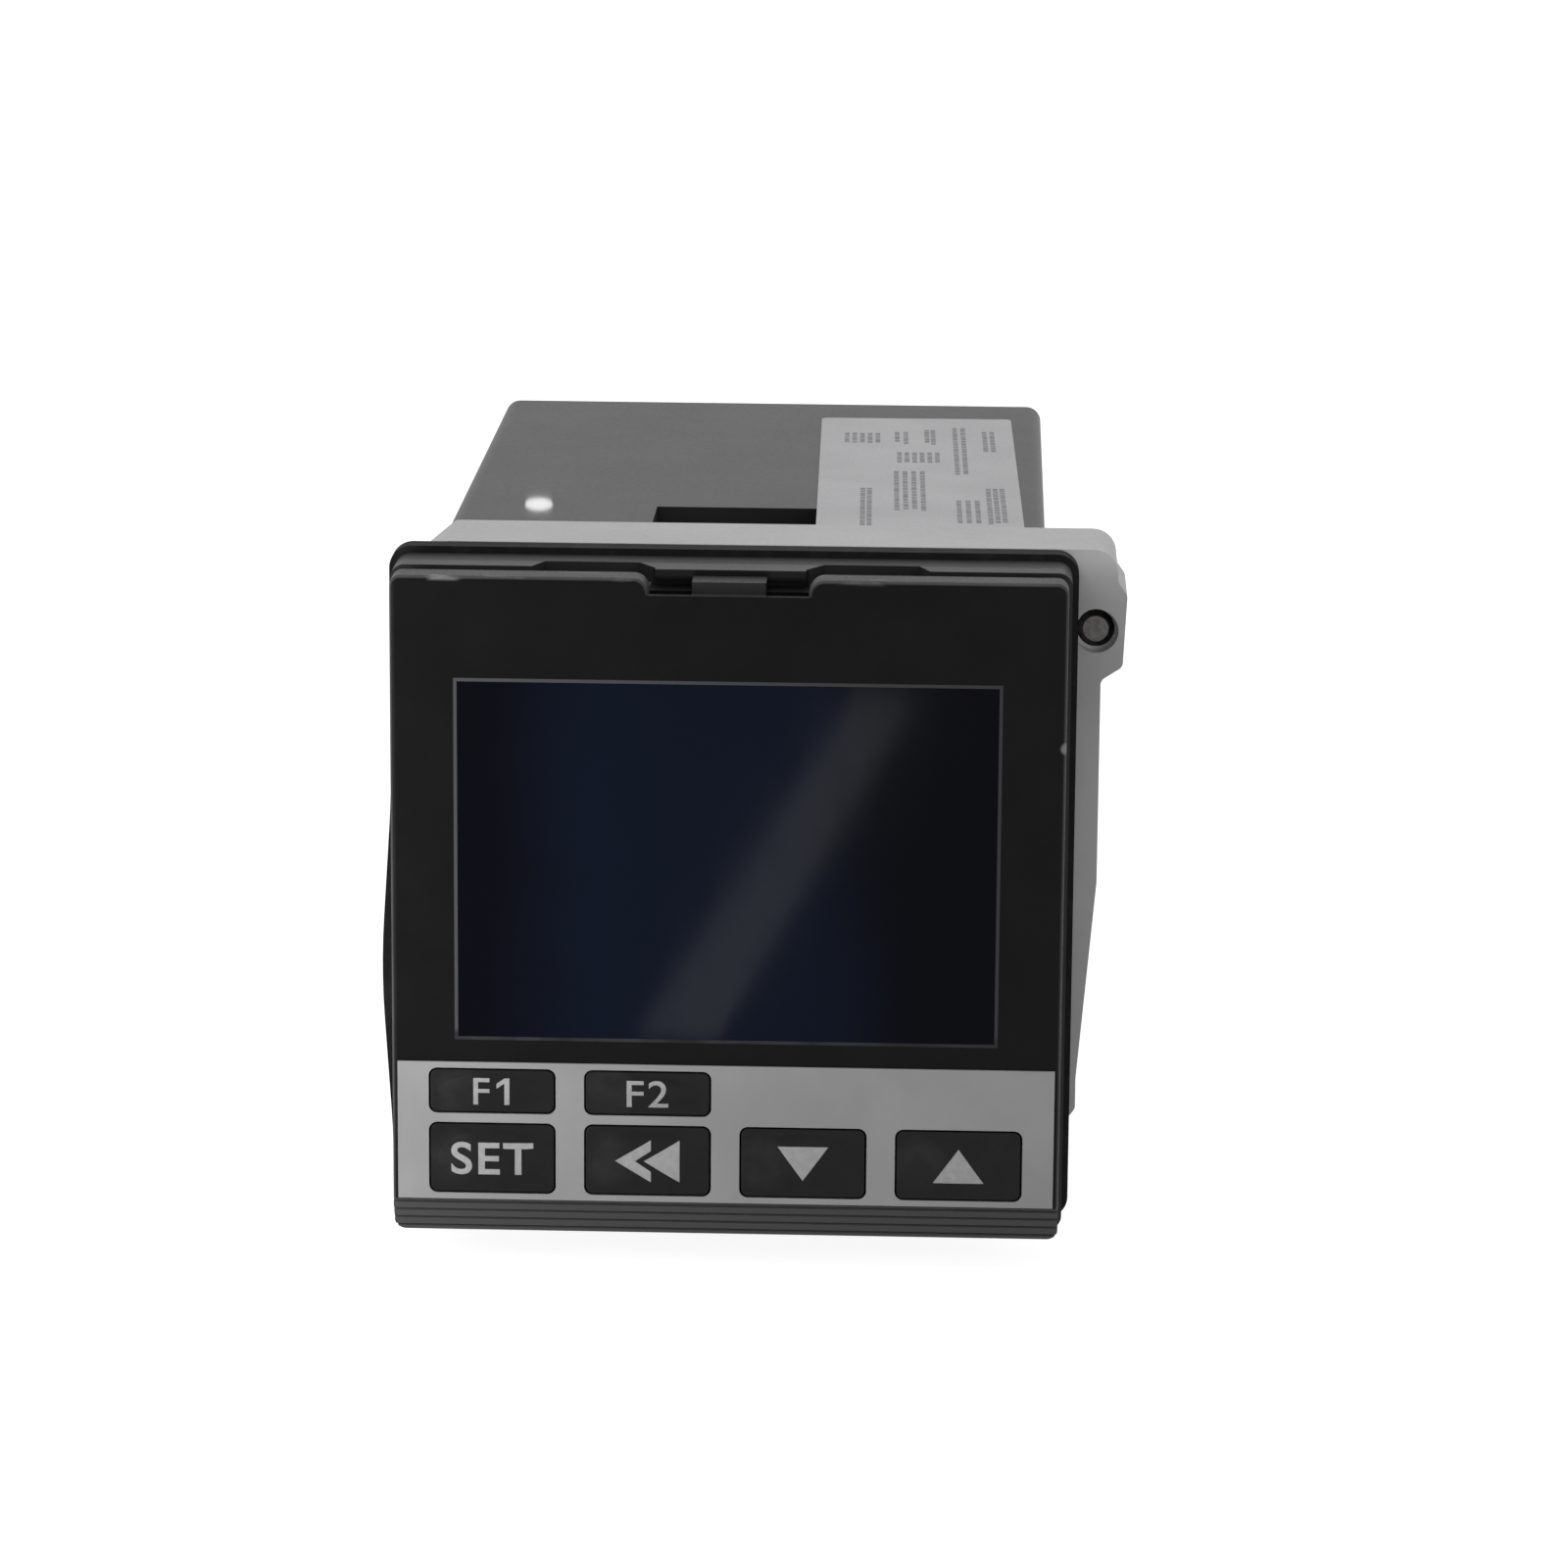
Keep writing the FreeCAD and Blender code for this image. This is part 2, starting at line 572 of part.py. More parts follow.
def bezel_profile():
    """Side outline of the front plate, with a ribbed slanting grip at its foot."""
    slope = Vector(GRIP_SLANT, -GRIP_HEIGHT, 0)
    pitch = slope.Length / GRIP_RIBS
    slope.normalize()
    inward = Vector(-slope.y, slope.x, 0)
    foot = Vector(PLATE_FRONT, GRIP_TOP, 0)
    points = [Vector(PLATE_BACK, PLATE_TOP, 0), Vector(PLATE_FRONT, PLATE_TOP, 0), foot]
    for i in range(GRIP_RIBS):
        begin = foot + slope * (pitch * (i + 0.5 - GRIP_GROOVE_SHARE / 2))
        end = foot + slope * (pitch * (i + 0.5 + GRIP_GROOVE_SHARE / 2))
        points += [begin, begin + inward * GRIP_GROOVE, end + inward * GRIP_GROOVE, end]
    points += [Vector(PLATE_FRONT + GRIP_SLANT, -PLATE_TOP, 0), Vector(PLATE_BACK, -PLATE_TOP, 0)]
    return [(p.x, p.y, 0) for p in points]


def side_tongue():
    """Right-hand guide tongue of the bezel, with a barb behind the display board."""
    tongue_z = (-TONGUE_HEIGHT / 2, TONGUE_HEIGHT / 2)
    tongue = bar((TONGUE_INNER, TONGUE_OUTER), (PLATE_BACK - LAP, BOARD_BACK + TONGUE_REACH), tongue_z)
    barb = [
        (TONGUE_INNER + LAP, BOARD_BACK + SEAT_GAP, 0),
        (TONGUE_INNER - BARB_REACH, BOARD_BACK + SEAT_GAP, 0),
        (TONGUE_INNER + LAP, BOARD_BACK + BARB_DEPTH, 0),
    ]
    return tongue.fuse(prism(barb, "z", *tongue_z))


def soft_front(plate):
    """Rounds the plate's front edge along its top, its sides, its corners and the notch's shoulders."""
    edge_x = PLATE_WIDTH / 2 - PLATE_CORNER
    edge_z = PLATE_TOP - PLATE_CORNER

    def on_front_rim(middle):
        outside = abs(middle.x) > edge_x or middle.z > edge_z
        return outside and abs(middle.y - PLATE_FRONT) < TOUCH

    return round_edges(plate, PLATE_EDGE, on_front_rim)


def release_notch():
    """Room of the notch in the plate's top edge, with rounded shoulders."""
    far_side = NOTCH_SIDE + 2 * NOTCH_SHOULDER
    outline = [
        (-NOTCH_SIDE, NOTCH_FLOOR, 0),
        (NOTCH_SIDE, NOTCH_FLOOR, 0),
        (NOTCH_SIDE, PLATE_TOP, NOTCH_SHOULDER),
        (far_side, PLATE_TOP, 0),
        (far_side, PLATE_TOP + OVERCUT, 0),
        (-far_side, PLATE_TOP + OVERCUT, 0),
        (-far_side, PLATE_TOP, 0),
        (-NOTCH_SIDE, PLATE_TOP, NOTCH_SHOULDER),
    ]
    return prism(outline, "y", PLATE_FRONT - OVERCUT, NECK_BACK + OVERCUT)


def front_bezel():
    """Front moulding: plate, grip, neck, tongues, window, key holes and the latch tab in its notch."""
    notch = release_notch()
    plate = prism(bezel_profile(), "x", -PLATE_WIDTH / 2, PLATE_WIDTH / 2)
    outline = rectangle(PLATE_WIDTH, PLATE_HEIGHT, PLATE_CORNER)
    plate = plate.common(prism(outline, "y", PLATE_FRONT - OVERCUT, PLATE_BACK + OVERCUT))
    plate = soft_front(plate.cut(notch))
    neck_outline = rectangle(NECK_SIZE, NECK_SIZE, PLATE_CORNER)
    neck = frame(neck_outline, rectangle(NECK_INNER, NECK_INNER), PLATE_BACK - LAP, NECK_BACK)
    tongue = side_tongue()
    bezel = plate.fuse([neck, tongue, mirrored(tongue)])
    pit_y = (PLATE_FRONT + NOTCH_LIP, PLATE_FRONT + NOTCH_LIP + PIT_DEPTH)
    pit = bar((TAB_WIDTH / 2, NOTCH_SIDE), pit_y, (NOTCH_FLOOR - PIT_DROP, NOTCH_FLOOR + LAP))
    cuts = [notch, pit, mirrored(pit)]
    opening = rectangle(
        WINDOW_WIDTH + 2 * WINDOW_GAP, WINDOW_HEIGHT + 2 * WINDOW_GAP, WINDOW_CORNER, 0, WINDOW_CENTRE
    )
    cuts.append(prism(opening, "y", PLATE_FRONT - OVERCUT, PLATE_FRONT + WINDOW_DEPTH))
    sight = rectangle(WINDOW_WIDTH - 2 * WINDOW_LEDGE, WINDOW_HEIGHT - 2 * WINDOW_LEDGE, 0, 0, WINDOW_CENTRE)
    cuts.append(prism(sight, "y", PLATE_FRONT, PLATE_BACK + OVERCUT))
    for name in KEYS:
        cuts.append(key_hole(name, 0))
    tab_y = (PLATE_FRONT + TAB_SETBACK, FLANGE_FRONT - LIP_DEPTH - 2 * SEAT_GAP)
    tab = bar((-TAB_WIDTH / 2, TAB_WIDTH / 2), tab_y, (NOTCH_FLOOR - LAP, NOTCH_FLOOR + TAB_RISE))
    return bezel.cut(cuts).fuse(tab).removeSplitter()


def key_hole(name, corner):
    """Opening for a key: rounded in the fascia, square in the plate behind it."""
    x, z, height = key_place(name)
    outline = rectangle(KEY_WIDTH + 2 * KEY_GAP, height + 2 * KEY_GAP, corner, x, z)
    return prism(outline, "y", KEY_FRONT - OVERCUT, PLATE_BACK + OVERCUT)


def key_cap(name):
    """Key with rounded corners and a rim behind the plate that keeps it in."""
    x, z, height = key_place(name)
    cap = prism(rectangle(KEY_WIDTH, height, KEY_CORNER, x, z), "y", KEY_FRONT, KEY_BACK)
    rim = rectangle(KEY_WIDTH + 2 * KEY_RIM, height, 0, x, z)
    return cap.fuse(prism(rim, "y", KEY_RIM_FRONT, KEY_BACK)).removeSplitter()


def key_plunger(name):
    """Small square plunger of the switch under a key."""
    x, z, height = key_place(name)
    stem = rectangle(PLUNGER_SIDE, PLUNGER_SIDE, 0, x, z)
    return prism(stem, "y", KEY_BACK, KEY_BACK + PLUNGER_LENGTH)


def key_switch(name):
    """Body of the switch under a key, with a bore for its plunger."""
    x, z, height = key_place(name)
    body_outline = rectangle(SWITCH_WIDTH, SWITCH_HEIGHT, 0, x, z)
    body = prism(body_outline, "y", SWITCH_FRONT, BOARD_FRONT)
    bore_end = KEY_BACK + PLUNGER_LENGTH + KEY_TRAVEL + SEAT_GAP
    bore_side = PLUNGER_SIDE + 2 * PLUNGER_CLEAR
    bore = rectangle(bore_side, bore_side, 0, x, z)
    return body.cut(prism(bore, "y", SWITCH_FRONT - OVERCUT, bore_end))


def key_fascia():
    """Grey film round the keys."""
    outline = rectangle(FASCIA_WIDTH, FASCIA_HEIGHT, 0, 0, GRIP_TOP + FASCIA_HEIGHT / 2)
    film = prism(outline, "y", FASCIA_FRONT, PLATE_FRONT)
    return film.cut([key_hole(name, KEY_CORNER + KEY_GAP) for name in KEYS])


def display_window():
    """Tinted window, flush with the plate and seated on its ledge."""
    outline = rectangle(WINDOW_WIDTH, WINDOW_HEIGHT, WINDOW_CORNER, 0, WINDOW_CENTRE)
    return prism(outline, "y", PLATE_FRONT, PLATE_FRONT + WINDOW_DEPTH)


def lcd_size():
    """Width and height of the display glass, which fits between the tongues and laps the window's ledge."""
    return 2 * (TONGUE_INNER - LCD_SIDE_GAP), WINDOW_HEIGHT + 2 * (LCD_LAP - WINDOW_LEDGE)


def lcd_glass():
    """Display glass against the back of the plate."""
    width, height = lcd_size()
    return prism(rectangle(width, height, 0, 0, WINDOW_CENTRE), "y", PLATE_BACK, LCD_BACK)


def lcd_backlight():
    """Light guide between the display glass and its board."""
    width, height = lcd_size()
    inset = 2 * BACKLIGHT_INSET
    outline = rectangle(width - inset, height - inset, 0, 0, WINDOW_CENTRE)
    return prism(outline, "y", LCD_BACK, BOARD_FRONT)


def display_board():
    """Board across the front that carries the display and the key switches."""
    width = 2 * (TONGUE_INNER - CHASSIS_CLEAR)
    height = 2 * (BORE_HALF - DISPLAY_BOARD_ROOM)
    return prism(rectangle(width, height), "y", BOARD_FRONT, BOARD_BACK)


def long_board(x, height):
    """Upright board from the display board back to its plug-in socket."""
    board_x = (x - BOARD_DEPTH / 2, x + BOARD_DEPTH / 2)
    return bar(board_x, (BOARD_BACK, SOCKET_FRONT), (-height / 2, height / 2))


def board_header(x):
    """Pin strip in the corner between the display board and an upright board."""
    left = x - BOARD_DEPTH / 2 - HEADER_WIDTH
    half = HEADER_HEIGHT / 2
    return bar((left, x - BOARD_DEPTH / 2), (BOARD_BACK, BOARD_BACK + HEADER_DEPTH), (-half, half))


def terminal_socket(x):
    """Socket on a board's rear edge that plugs onto one column of blades."""
    height = ROW_PITCH * (TERMINAL_ROWS - 1) + BLADE_HEIGHT + 2 * SOCKET_END
    socket = prism(rectangle(SOCKET_WIDTH, height, 0, x, 0), "y", SOCKET_FRONT, SOCKET_REAR)
    slits = []
    for z in ROW_PLACES:
        slit = rectangle(BLADE_WALL + 2 * BLADE_CLEAR, BLADE_HEIGHT + 2 * BLADE_CLEAR, 0, x, z)
        slits.append(prism(slit, "y", BLADE_TIP - BLADE_CLEAR, SOCKET_REAR + OVERCUT))
    return socket.cut(slits)


def transformer_core():
    """Ferrite core with three limbs and two yokes, standing on the power board."""
    half = CORE_SIZE / 2
    base = POWER_FACE
    core_x = (base, base + TRANSFORMER_RISE)
    core = bar(core_x, (TRANSFORMER_PLACE - half, TRANSFORMER_PLACE + half), (-half, half))
    yoke = CORE_LIMB / 2
    windows = []
    for side in (-1, 1):
        window_z = (side * CORE_LIMB / 2, side * (half - yoke))
        windows.append(
            bar(
                (base - OVERCUT, base + TRANSFORMER_RISE + OVERCUT),
                (TRANSFORMER_PLACE - half + yoke, TRANSFORMER_PLACE + half - yoke),
                window_z,
            )
        )
    return core.cut(windows)


def transformer_coil():
    """Taped winding round the core's middle limb."""
    half = CORE_SIZE / 2
    yoke = CORE_LIMB / 2
    base = POWER_FACE
    length = CORE_SIZE - 2 * yoke - 2 * SEAT_GAP
    outer_z = half - yoke - SEAT_GAP
    low = TRANSFORMER_PLACE - length / 2
    high = TRANSFORMER_PLACE + length / 2
    middle = base + TRANSFORMER_RISE / 2
    outer = rectangle(TRANSFORMER_RISE + 2 * COIL_ROOM, 2 * outer_z, COIL_CORNER, middle + COIL_ROOM, 0)
    inner = rectangle(TRANSFORMER_RISE, CORE_LIMB, 0, middle, 0)
    room = bar((base - OVERCUT, base), (low - OVERCUT, high + OVERCUT), (-half, half))
    return frame(outer, inner, low, high).cut(room)


def output_relay(side):
    """Sealed relay on the output board."""
    base = OUTPUT_FACE
    z = side * (RELAY_HEIGHT + RELAY_APART) / 2
    relay = bar(
        (base, base + RELAY_RISE),
        (RELAY_PLACE - RELAY_LENGTH / 2, RELAY_PLACE + RELAY_LENGTH / 2),
        (z - RELAY_HEIGHT / 2, z + RELAY_HEIGHT / 2),
    )
    return round_edges(relay, RELAY_EDGE, lambda middle: middle.x > base + RELAY_RISE - TOUCH)


def filter_capacitor(side):
    """Can capacitor on the power board, on its outer side."""
    base = POWER_X - BOARD_DEPTH / 2
    z = side * (CAPACITOR_RADIUS + CAPACITOR_APART / 2)
    return rod(CAPACITOR_RADIUS, (base, CAPACITOR_PLACE, z), (base - CAPACITOR_RISE, CAPACITOR_PLACE, z))


def control_chip(order):
    """Flat chip on the signal board, on its outer side."""
    base = SIGNAL_X + BOARD_DEPTH / 2
    y = CHIP_PLACE + order * (CHIP_SIZE + CHIP_APART)
    half = CHIP_SIZE / 2
    return bar((base, base + CHIP_RISE), (y - half, y + half), (-half, half))


def upper_screw_axis():
    """Place of the jack screw beside the case, near its top."""
    return CASE_HALF + JACK_HEAD_RADIUS + UPPER_HEAD_CLEAR, CASE_HALF - BOSS_INSET


def lower_screw_axis():
    """Place of the jack screw under the case, near its left side."""
    return BOSS_INSET - CASE_HALF, -CASE_HALF - JACK_HEAD_RADIUS - LOWER_HEAD_CLEAR


def bracket_outline():
    """Outer outline of the clamp bracket, with a boss at the upper right and one at the lower left."""
    half = BRACKET_HALF
    screw_x, screw_z = upper_screw_axis()
    under_x, under_z = lower_screw_axis()
    shoulder = screw_x + BOSS_SHOULDER
    pad_right = screw_x + JACK_RADIUS + UPPER_BOSS_WALL
    pad_low = under_z - JACK_RADIUS - LOWER_BOSS_WALL
    return [
        (-half, half - BRACKET_CUT_HEIGHT, BOSS_ROUND),
        (-half + BRACKET_CUT_WIDTH, half, BOSS_ROUND),
        (shoulder, half, BOSS_SHOULDER_ROUND),
        (shoulder, screw_z + BOSS_SPAN, BOSS_ROUND),
        (pad_right, screw_z + BOSS_STEP, BOSS_ROUND),
        (pad_right - BOSS_TAPER, screw_z - BOSS_STEP, BOSS_ROUND),
        (half + RAIL_ROOT, screw_z - BOSS_SPAN, BOSS_ROUND),
        (half + RAIL_ROOT, RAIL_BEND, RAIL_BEND_ROUND),
        (half + RAIL_TIP, RAIL_KNEE, RAIL_BEND_ROUND),
        (half + RAIL_TIP, RAIL_END, BOSS_ROUND),
        (half, RAIL_END - BOSS_ROUND, 0),
        (half, -half, BRACKET_CORNER),
        (under_x + BOSS_SPAN + LOWER_BOSS_FLARE, -half, BOSS_ROUND),
        (under_x + BOSS_SPAN, pad_low, BOSS_ROUND),
        (under_x - BOSS_SPAN, pad_low, BOSS_ROUND),
        (-half, under_z + BOSS_SPAN, LOWER_BOSS_FLARE),
    ]


def pawl_cuts():
    """Cuts that free the right-hand rail's pawl: two slits and a thinned back."""
    outside = BRACKET_HALF + RAIL_ROOT + OVERCUT
    pawl_y = (BRACKET_FRONT + PAWL_ROOT, BRACKET_REAR + OVERCUT)
    cuts = []
    for side in (-1, 1):
        slit_z = (side * PAWL_HEIGHT / 2, side * (PAWL_HEIGHT / 2 + PAWL_SLIT))
        cuts.append(bar((BRACKET_INNER - OVERCUT, outside), pawl_y, slit_z))
    back_z = (-PAWL_HEIGHT / 2 - LAP, PAWL_HEIGHT / 2 + LAP)
    cuts.append(bar((BRACKET_INNER + PAWL_WALL, outside), pawl_y, back_z))
    return cuts


def pawl_tooth():
    """Tooth on the free end of the right-hand pawl, drawn lifted just clear of the ratchet."""
    tooth = [
        (BRACKET_INNER + LAP, BRACKET_REAR - RATCHET_PITCH, 0),
        (BRACKET_INNER - PAWL_TOOTH, BRACKET_REAR, 0),
        (BRACKET_INNER + LAP, BRACKET_REAR, 0),
    ]
    return prism(tooth, "z", -RATCHET_HEIGHT / 2, RATCHET_HEIGHT / 2)


def clamp_bracket():
    """Frame that slides over the case from behind, with two bosses, two bores and two pawls."""
    inner_size = 2 * BRACKET_INNER
    inner = rectangle(inner_size, inner_size, CASE_CORNER + BRACKET_CLEAR)
    body = frame(bracket_outline(), inner, BRACKET_FRONT, BRACKET_REAR)
    cuts = []
    for cut in pawl_cuts():
        cuts += [cut, mirrored(cut)]
    for x, z in (upper_screw_axis(), lower_screw_axis()):
        bore = JACK_RADIUS + JACK_CLEAR
        cuts.append(rod(bore, (x, BRACKET_FRONT - OVERCUT, z), (x, BRACKET_REAR + OVERCUT, z)))
        mouth_end = BRACKET_FRONT + JACK_MOUTH_DEPTH
        cuts.append(rod(bore + JACK_MOUTH, (x, BRACKET_FRONT - OVERCUT, z), (x, mouth_end, z)))
    tooth = pawl_tooth()
    return body.cut(cuts).fuse([tooth, mirrored(tooth)]).removeSplitter()


def jack_screw(axis):
    """Screw through a boss that presses the panel, with its pointed tip just inside the boss's mouth."""
    tip = BRACKET_FRONT + JACK_SETBACK
    screw = slotted_screw(axis, tip, tip + JACK_LENGTH, JACK_RADIUS, JACK_HEAD_RADIUS, JACK_HEAD_DEPTH)
    tip_edges = [edge for edge in screw.Edges if abs(edge.CenterOfMass.y - tip) < TOUCH]
    return screw.makeChamfer(JACK_POINT, tip_edges)


def nodes():
    """Every piece by its name."""
    pieces = {
        "case_sleeve": case_sleeve(),
        "panel_gasket": panel_gasket(),
        "rating_label": rating_label(),
        "terminal_block": terminal_block(),
        "terminal_contacts": at_terminals(terminal_contact),
        "terminal_clamps": at_terminals(terminal_clamp),
        "terminal_screws": at_terminals(terminal_screw),
        "front_bezel": front_bezel(),
        "display_window": display_window(),
        "key_fascia": key_fascia(),
        "lcd_glass": lcd_glass(),
        "lcd_backlight": lcd_backlight(),
        "display_board": display_board(),
        "key_switches": Part.makeCompound([key_switch(name) for name in KEYS]),
        "power_board": long_board(POWER_X, OUTER_BOARD_HEIGHT),
        "output_board": long_board(OUTPUT_X, CENTRE_BOARD_HEIGHT),
        "signal_board": long_board(SIGNAL_X, OUTER_BOARD_HEIGHT),
        "board_headers": Part.makeCompound([board_header(x) for x in BOARD_PLACES]),
        "terminal_sockets": Part.makeCompound([terminal_socket(x) for x in BOARD_PLACES]),
        "transformer_core": transformer_core(),
        "transformer_coil": transformer_coil(),
        "output_relays": Part.makeCompound([output_relay(side) for side in (-1, 1)]),
        "filter_capacitors": Part.makeCompound([filter_capacitor(side) for side in (-1, 1)]),
        "control_chips": Part.makeCompound([control_chip(order) for order in (0, 1)]),
        "clamp_bracket": clamp_bracket(),
        "jack_screw_upper": jack_screw(upper_screw_axis()),
        "jack_screw_lower": jack_screw(lower_screw_axis()),
    }
    for name in KEYS:
        pieces["key_" + name] = key_cap(name)
        pieces["plunger_" + name] = key_plunger(name)
    return pieces


os.makedirs("parts", exist_ok=True)
for node, shape in nodes().items():
    shape.exportStep("parts/" + node + ".step")
    print(node, len(shape.Solids), round(shape.Volume, 2), shape.isValid())
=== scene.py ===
import math
import bpy
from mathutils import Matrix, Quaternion, Vector


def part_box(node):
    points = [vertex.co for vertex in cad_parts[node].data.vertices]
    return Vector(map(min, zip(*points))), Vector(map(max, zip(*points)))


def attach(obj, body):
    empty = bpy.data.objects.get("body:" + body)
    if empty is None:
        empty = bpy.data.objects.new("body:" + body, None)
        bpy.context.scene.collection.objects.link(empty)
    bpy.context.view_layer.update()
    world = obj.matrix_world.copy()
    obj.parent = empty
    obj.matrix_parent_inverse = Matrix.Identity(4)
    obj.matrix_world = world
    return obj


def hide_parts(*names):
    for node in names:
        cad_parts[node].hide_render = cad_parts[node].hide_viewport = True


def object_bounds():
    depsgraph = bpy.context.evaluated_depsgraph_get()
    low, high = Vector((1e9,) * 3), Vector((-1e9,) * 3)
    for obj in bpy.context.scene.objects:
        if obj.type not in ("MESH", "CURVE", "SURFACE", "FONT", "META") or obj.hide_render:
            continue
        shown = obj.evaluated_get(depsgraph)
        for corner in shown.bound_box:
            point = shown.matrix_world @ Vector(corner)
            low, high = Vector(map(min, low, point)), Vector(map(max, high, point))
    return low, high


# Looks of a square panel-mounted temperature controller, around its solids.
# X runs right seen from the front, Y runs back through the panel and Z runs up.
# New pieces are modelled in millimetres and brought to metres when they are dressed.

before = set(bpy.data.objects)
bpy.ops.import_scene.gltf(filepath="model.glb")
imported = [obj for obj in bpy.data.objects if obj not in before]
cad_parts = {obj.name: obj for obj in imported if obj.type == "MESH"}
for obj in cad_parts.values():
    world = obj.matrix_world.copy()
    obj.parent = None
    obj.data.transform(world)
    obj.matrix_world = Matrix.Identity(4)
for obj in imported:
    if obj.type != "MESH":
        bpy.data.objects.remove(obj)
cad_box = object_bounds()
bpy.ops.object.select_all(action="DESELECT")

MM = 0.001
TINY = 0.001
QUARTER_TURN = math.pi / 2
AXIS_X, AXIS_Y, AXIS_Z = 0, 1, 2
FACING = 0.9
SMOOTH_ANGLE = math.radians(35)

# Camera
CAMERA_PLACE = Vector((17.5, -417.4, 104.2)) * MM
CAMERA_TARGET = Vector((3.98, -10.3, 9.51)) * MM
CAMERA_ROLL = math.radians(0.44)
CAMERA_LENS = 137.1

# Light: strength of the surround as plain light, and each lamp's shape, place, target, width, height and power
SURROUND_LIGHT = 0.3
LAMPS = {
    "key_lamp": ("RECTANGLE", (-0.2, -0.22, 0.4), (0, 0, 0), 0.25, 0.25, 0.5),
    "top_lamp": ("RECTANGLE", (-0.05, 0.1, 0.6), (0, 0.02, 0), 0.5, 0.5, 1.3),
    "side_lamp": ("RECTANGLE", (-0.05, -0.04, -0.002), (-0.02, -0.01, -0.013), 0.02, 0.05, 0.0195),
    "fill_lamp": ("RECTANGLE", (0.3, -0.35, 0.12), (0.02, 0, 0), 0.25, 0.25, 0.55),
    "spot_lamp": ("ELLIPSE", (-0.053, 0.518, 0.1128), (-0.0162, 0.028, 0.0223), 0.0044, 0.002, 0.00045),
}
BAND_START = Vector((-6.6, -71.4, -26.0)) * MM
BAND_END = Vector((8.4, -206.9, -26.0)) * MM
BAND_WIDTH = 0.0066
BAND_POWER = 0.0156
FLOOR_SIZE = 8
FLOOR_TONE = 0.45
FLOOR_GLOW = 0.9

# Keys and their legends
KEYS = ("f1", "f2", "set", "back", "down", "up")
KEY_RIM = 0.4
KEY_RIM_DEPTH = 0.7
KEY_CORNER = 0.5
KEY_CORNER_STEPS = 5
KEY_EDGE = 0.1
KEY_EDGE_STEPS = 3
KEY_LAND = 0.18
DOME_TOP = 0.02
DOME_SIDE = 0.45
DOME_FOOT = 0.3
DOME_SIDES = 64
DOME_SINK = 0.1
DOME_RINGS = (0.97, 0.93, 0.88, 0.82, 0.74, 0.62, 0.45, 0.25)
DOME_POWER = 4
LEGEND_SMOOTH_ANGLE = math.radians(20)
LEGEND_STANDOFF = 1
LEGEND_PROUD = 0.014
LEGEND_DEPTH = 0.04
LEGEND_SLICE = 0.35
ARROW_WIDTH = 3.6
ARROW_HEIGHT = 2.5
BACK_WIDTH = 4.58
BACK_HEIGHT = 3.1
BACK_ARROW = 2.54
BACK_NOTCH = 1.41
BACK_END = 0.78
WORD_LEGENDS = {"f2": ("F2", 2.95, 1.95, 0.006), "set": ("SET", 5.85, 2.4, 0.016)}
LETTER_SPACING = 1.1
LETTER_WIDTH = 1.15
LETTER_HEIGHT = 1.95
LETTER_WEIGHT = 0.006
FIGURE_STROKE = 0.36
FIGURE_FLAG = 0.55
FIGURE_FLAG_SLOPE = 0.7
FIGURE_PLACE = 1.06
LETTER_PLACE = -0.75

# Line round the display
LINE_WIDTH = 0.24
LINE_PROUD = 0.02
LINE_DEPTH = 0.04

# Print on the label: blocks across from its left edge and down from its rear edge, and the lengths of their marks
LABEL_TURN = math.radians(1.1)
LABEL_CORNER = Vector((4.3, 67.3))
PRINT_DEPTH = 0.02
PRINT_PITCH = 0.62
PRINT_HEIGHT = 0.38
PRINT_SPACE = 0.28
PRINT_WORDS = (1.3, 0.7, 1.9, 1.0, 0.5, 1.5, 0.8)
PRINT_BLOCKS = (
    (1.8, 4.9, 7.2, 12.5),
    (5.8, 7.2, 6.6, 12.3),
    (8.3, 9.3, 5.6, 12.6),
    (10.5, 11.8, 4.5, 26.7),
    (12.9, 14.1, 6.2, 16.0),
    (6.0, 9.6, 16.2, 20.9),
    (5.7, 8.4, 24.7, 41.7),
    (3.2, 4.2, 32.2, 48.2),
    (10.4, 12.5, 37.2, 47.5),
    (12.8, 14.4, 32.1, 46.9),
)

# Cans and chips on the boards
CAN_SIDES = 48
CAN_CRIMP = (1.1, 1.5, 1.9)
CAN_CRIMP_DEPTH = 0.35
CAN_SHOULDER = 0.45
CAN_SHOULDER_STEPS = ((0.5, 0.13), (0.87, 0.5), (1.0, 1.0))
CAN_LIP = 0.7
CAN_RECESS = 0.1
VENT_WIDTH = 0.18
VENT_DEPTH = 0.16
VENT_REACH = 2.4
CHIP_EDGE = 0.14
CHIP_EDGE_STEPS = 2
CHIP_LIFT = 0.15
DIMPLE_RADIUS = 0.5
DIMPLE_SIDES = 24
DIMPLE_INSET = 1.3
DIMPLE_DEPTH = 0.12
LEADS_A_SIDE = 11
LEAD_PITCH = 0.8
LEAD_WIDTH = 0.34
LEAD_DEPTH = 0.15
LEAD_OUT = 0.45
LEAD_FOOT = 0.5

# Screws
SCREW_SIDES = 40
SCREW_SLOT_WIDTH = 0.7
SCREW_SLOT_DEPTH = 0.8
SCREW_EDGE = 0.3
SCREW_EDGE_STEPS = 4
THREAD_STEPS = 24
RIDGE_RISE = 1.5
RIDGE_WIDTH = 1.15
JACK_CORE = 1.1
JACK_CREST = 1.24
JACK_PITCH = 0.45
JACK_POINT = 0.18
JACK_HEAD_DEPTH = 1.6
TERMINAL_SHANK = 1.5
TERMINAL_HEAD = 2.75
TERMINAL_HEAD_DEPTH = 1.9
TERMINAL_COLUMNS = 3
TERMINAL_ROWS = 5

